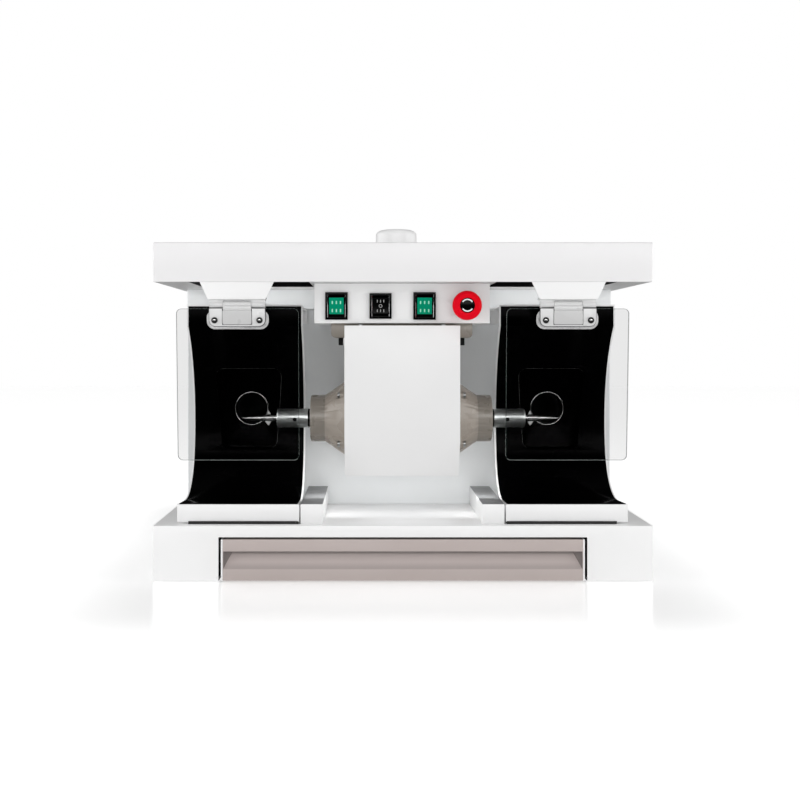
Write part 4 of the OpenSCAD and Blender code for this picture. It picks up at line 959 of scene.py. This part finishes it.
pushFaces(leafPlate, lambda at, way: way.y < -0.95 and inGroove(at), (0, grooveDeep, 0))
leafPad = roundPlate("leafPad", shieldSet["pad"])
leafKnuckle = turned("leafKnuckle", leafSet["knuckle"], shieldSet["axis"], "x", 40)
leafNeck = blockOf("leafNeck", *[[v + base for v in leafSet["neck" + letter]]
                                 for letter, base in zip("XYZ", shieldSet["axis"])])
neckTop, neckRound = leafSet["neckRound"]
roundEdges(leafNeck, lambda at, way: abs(way.x) > square and at.z > (hingeZ + neckTop) * mm, neckRound, 4)
leafRight = joinUp([leafPlate, leafPad, leafKnuckle, leafNeck, leafDarkPlate], "hingeLeafRight")


def leafFinish(at, way):
    # alloy, with the dark plate matt black, the groove round the pad painted black as painted shade, and the
    # pad a darker alloy
    y, z, front = at.y / mm - hingeY, at.z / mm - hingeZ, leafSet["y"][0]
    darkPlate = within(y, (leafSet["darkPlateY"][0] - 0.1, leafSet["darkPlateY"][1] + 0.1)) and z < -5
    if darkPlate or (inGroove(at, 0.1) and y > front - 0.1):
        return 1
    return 2 if y < front - 0.2 and z < leafSet["grooveTop"] else 0


paintFaces(leafRight, [hingeAlloy, mattBlackAndShade, padAlloy], leafFinish)
smooth(leafRight)

# each screw: a bright dome in a dished washer painted dark as painted shade, a shank and a six-sided nut
screwSet = {"x": 30.35, "z": -21, "dish": (2.2, 4.3), "front": -6.4,
            "dome": [(0, -8.2), (1.2, -8.1), (2.1, -7.7), (2.6, -7.0), (2.6, -6.6), (3.4, -6.6), (3.7, -7.2),
                     (4.1, -7.2), (4.2, -7.0), (4.2, -6.25), (2.5, -6.25), (2.5, 6.2), (0, 6.2)],
            "nut": [(2.5, 3.75), (4.1, 3.75), (4.4, 4.1), (4.4, 5.9), (4.1, 6.25), (2.5, 6.25), (2.5, 3.75)]}
screws = []
for side in (-1, 1):
    place = (hingeX + side * screwSet["x"], hingeY, hingeZ + screwSet["z"])
    screws += [turned("shieldScrew", screwSet["dome"], place, "y", 40),
               turned("shieldNut", screwSet["nut"], place, "y", 6)]
screwsRight = joinUp(screws, "shieldScrewsRight")


def screwFinish(at, way):
    # the washer's dish is painted dark steel: painted shade
    offX = abs(abs(at.x / mm - hingeX) - screwSet["x"])
    away = math.hypot(offX, at.z / mm - hingeZ - screwSet["z"])
    return int(within(away, screwSet["dish"]) and at.y / mm < hingeY + screwSet["front"])


paintFaces(screwsRight, [brightSteel, darkSteelAndShade], screwFinish)
shieldPieces = {"shield_sheet": (sheetRight, clearSheet, "clear_sheet"),
                "clamp_plate": (clampRight, clampAlloy, "hinge_alloy"),
                "hinge_leaf": (leafRight, hingeAlloy, "hinge_alloy"),
                "shield_screws": (screwsRight, brightSteel, "steel")}
for node, (piece, material, slotName) in shieldPieces.items():
    lean(piece, shieldSet["lean"], shieldSet["axis"])
    twin = mirrorOf(piece, piece.name.replace("Right", "Left"))
    finish(piece, material, "shield_right", slotName, node + "_right")
    finish(twin, material, "shield_left", slotName, node + "_left")
hingeBases = takeShape("hinge_bases", "hingeBases", shieldSet["basesEdge"])
finish(hingeBases, hingeAlloy, "cabinet", "hinge_alloy", "hinge_bases")
print("shields made")

# pan-head screws with a six-sided socket: each place, its axis, the head's radius and height
headSet = {"panelX": (105, 311), "panelZ": ((86, 393), (86, 239.5, 393)), "panelY": 236, "panelSize": (4, 2),
           "cover": (57, -202, 345), "coverSize": (3, 2), "socket": (1.5, 1.2),
           "line": ((0, 1), (0.55, 1), (0.8, 0.86), (0.95, 0.6), (1, 0.3), (1, 0), (0, 0))}


def panHead(name, place, axis, size):
    radius, tall = size
    piece = turned(name, [(radius * r, tall * at) for r, at in headSet["line"]], place, axis, 32)
    socket, deep = headSet["socket"]
    low, high = tall - deep, tall + 1
    cutAway(piece, turned("socket", [(0, low), (socket, low), (socket, high), (0, high)], place, axis, 6))
    return [smooth(piece, 30), mirrorOf(piece, name + "Left")]


heads = []
for x, rows in zip(headSet["panelX"], headSet["panelZ"]):
    for z in rows:
        heads += panHead("panelScrew", (x, headSet["panelY"], z), "y", headSet["panelSize"])
heads += panHead("coverScrew", headSet["cover"], "z", headSet["coverSize"])
finish(joinUp(heads, "housingScrews"), plainSteel, "cabinet", "steel", "housing_screws")

# small parts that keep the frame's shape, with softened edges: node, then name, edge, finish, body, slot
smallParts = {"feet": ("rubberFeet", 0.3, rubberAndShadeBlack, "cabinet", "foot_rubber"),
              "power_inlet": ("mainsInlet", 0.4, mattBlackAndShade, "cabinet", "dark_plastic"),
              "bell_screws": ("bellScrews", 0.25, plainSteel, "cabinet", "dark_steel"),
              "drawer_runners": ("drawerRunners", 0.2, galvanised, "cabinet", "galvanised"),
              "filter_box": ("filterBox", 0.4, galvanised, "cabinet", "galvanised"),
              "blower_casing": ("blowerCasing", 0.4, galvanised, "cabinet", "galvanised"),
              "blower_motor": ("blowerMotor", 0.5, mattBlackAndShade, "cabinet", "dark_plastic"),
              "drawer_slides": ("drawerSlides", 0.2, galvanised, "drawer", "galvanised")}
for node, (name, edge, material, body, slotName) in smallParts.items():
    finish(takeShape(node, name, edge), material, body, slotName, node)
print("small parts made")

# floor: for the camera it glows, dimmer near the base and rising away from it until it meets the white
# behind: painted light, with a painted shadow round the base. Glossy rays see a dark floor, so that the black
# linings and the bright metal keep their depth
floorSet = {"size": 14.0, "colour": (0.90, 0.90, 0.90), "gloss": 0.16, "specular": 0.1, "card": 0.05,
            "base": (0.30, 0.40, 0), "fade": (0, 0.28), "glow": (0.34, 0.76)}
letGo()
bpy.ops.mesh.primitive_plane_add(size=floorSet["size"], location=(0, 0, 0))
floor = bpy.context.object
floor.name = "studioFloor"
floorPaint, floorTree, floorShader = finishBase("floorPaint", {
    "Base Color": (*floorSet["colour"], 1), "Roughness": floorSet["gloss"],
    "Specular IOR Level": floorSet["specular"], "Emission Color": (1, 1, 1, 1)})
floor.data.materials.append(floorPaint)
# how far a place on the floor lies from the base's outline
reach = addNode(floorTree, "TexCoord").outputs["Object"]
for kind, value in (("ABSOLUTE", {}), ("SUBTRACT", {1: floorSet["base"]}), ("MAXIMUM", {}), ("LENGTH", {})):
    step = addNode(floorTree, "VectorMath", value, {0: reach}, operation=kind)
    reach = step.outputs["Value" if kind == "LENGTH" else "Vector"]
fadeStart, fadeEnd = floorSet["fade"]
glowNear, glowFar = floorSet["glow"]
floorFade = addNode(floorTree, "MapRange", {"From Min": fadeStart, "From Max": fadeEnd, "To Min": glowNear,
                                            "To Max": glowFar}, {"Value": reach},
                    interpolation_type="SMOOTHSTEP")
floorRays = addNode(floorTree, "LightPath")
floorGlow = addNode(floorTree, "Mix", {"A": glowNear}, {"Factor": floorRays.outputs["Is Camera Ray"],
                                                        "B": floorFade.outputs["Result"]})
floorTree.links.new(floorGlow.outputs["Result"], floorShader.inputs["Emission Strength"])
floorCard = addNode(floorTree, "Emission", {"Strength": floorSet["card"]})
floorMix = addNode(floorTree, "MixShader", links={"Fac": floorRays.outputs["Is Glossy Ray"],
                                                  1: floorShader.outputs["BSDF"],
                                                  2: floorCard.outputs["Emission"]})
floorTree.links.new(floorMix.outputs["Shader"], floorTree.nodes["Material Output"].inputs["Surface"])

# world: white for the camera, an even soft light on the object, and for glossy rays a dark room with
# soft boxes left and right, a strip above the camera and a faint panel overhead. Each is the axis of a
# ray's direction, where along it the light starts and is whole, and its strength before and after
skySet = {"camera": 1.0, "even": 0.52,
          "left": ("X", -0.70, -0.92, 0, 3.0), "right": ("X", 0.70, 0.92, 0, 2.0),
          "strip": ("Y", -0.70, -0.90, 0, 5.0), "stripLow": ("Z", 0.10, 0.18, 0, 1.0),
          "stripHigh": ("Z", 0.50, 0.34, 0, 1.0), "top": ("Z", 0.75, 0.95, 0.02, 0.42)}
world = bpy.data.worlds.new("studioWorld")
world.use_nodes = True
scene.world = world
sky = world.node_tree
skyWay = addNode(sky, "TexCoord")
skyParts = addNode(sky, "SeparateXYZ", links={"Vector": skyWay.outputs["Generated"]})


def skyRamp(part):
    axis, start, whole, before, after = skySet[part]
    ramp = addNode(sky, "MapRange", {"From Min": start, "From Max": whole, "To Min": before, "To Max": after},
                   {"Value": skyParts.outputs[axis]}, interpolation_type="SMOOTHSTEP")
    return ramp.outputs["Result"]


def skyMath(kind, first, *others):
    for other in others:
        first = addNode(sky, "Math", links={0: first, 1: other}, operation=kind).outputs["Value"]
    return first


overhead = skyMath("MULTIPLY", skyRamp("strip"), skyRamp("stripLow"), skyRamp("stripHigh"))
shineStrength = skyMath("ADD", skyRamp("left"), skyRamp("right"), overhead, skyRamp("top"))
shine = addNode(sky, "Background", links={"Strength": shineStrength})
seen = addNode(sky, "Background", {"Color": (1, 1, 1, 1), "Strength": skySet["camera"]})
even = sky.nodes["Background"]
even.inputs["Color"].default_value = (1, 1, 1, 1)
even.inputs["Strength"].default_value = skySet["even"]
rays = addNode(sky, "LightPath")
surface = even.outputs["Background"]
for ray, source in (("Is Glossy Ray", shine), ("Is Camera Ray", seen)):
    surface = addNode(sky, "MixShader", links={"Fac": rays.outputs[ray], 1: surface,
                                               2: source.outputs["Background"]}).outputs["Shader"]
sky.links.new(surface, sky.nodes["World Output"].inputs["Surface"])

# lights: a light that stands off the middle has a twin on the left
lights = {
    "frontPanel": {"place": (0, -2.6, 0.28), "aim": (0, 0, 0.26), "size": (3.4, 0.5), "power": 4.3},
    "sidePanel": {"place": (2.4, -1.1, 0.8), "aim": (0, 0, 0.2), "size": (1.6, 1.4), "power": 27},
    "underPanel": {"place": (0, -0.115, 0.13), "aim": (0, -0.09, 0.08), "size": (0.14, 0.1), "power": 0.026},
    "plateStrip": {"place": (0, -0.195, 0.125), "aim": (0, -0.195, 0), "size": (0.17, 0.09), "power": 0.02},
    "headerStrip": {"place": (0.2, -0.10, 0.391), "aim": (0.2, 0, 0.391), "size": (0.15, 0.012),
                    "power": 0.029},
    "gapStrip": {"place": (0.108, -0.165, 0.138), "aim": (0.108, -0.03, 0.105), "size": (0.05, 0.04),
                 "power": 0.056},
}
for name, light in lights.items():
    for side, ending in ((-1, "Left"), (1, "Right")) if light["place"][0] else ((1, ""),):
        place, aim = [Vector((side * v[0], v[1], v[2])) for v in (light["place"], light["aim"])]
        letGo()
        bpy.ops.object.light_add(type="AREA", location=place)
        lamp = bpy.context.object
        lamp.name = name + ending
        lamp.data.shape = "RECTANGLE"
        lamp.data.size, lamp.data.size_y = light["size"]
        lamp.data.energy = light["power"]
        lamp.rotation_euler = (aim - place).to_track_quat("-Z", "Y").to_euler()
        lamp.visible_camera = False
        lamp.visible_glossy = False
scene.view_settings.view_transform = "Standard"
print("studio set")
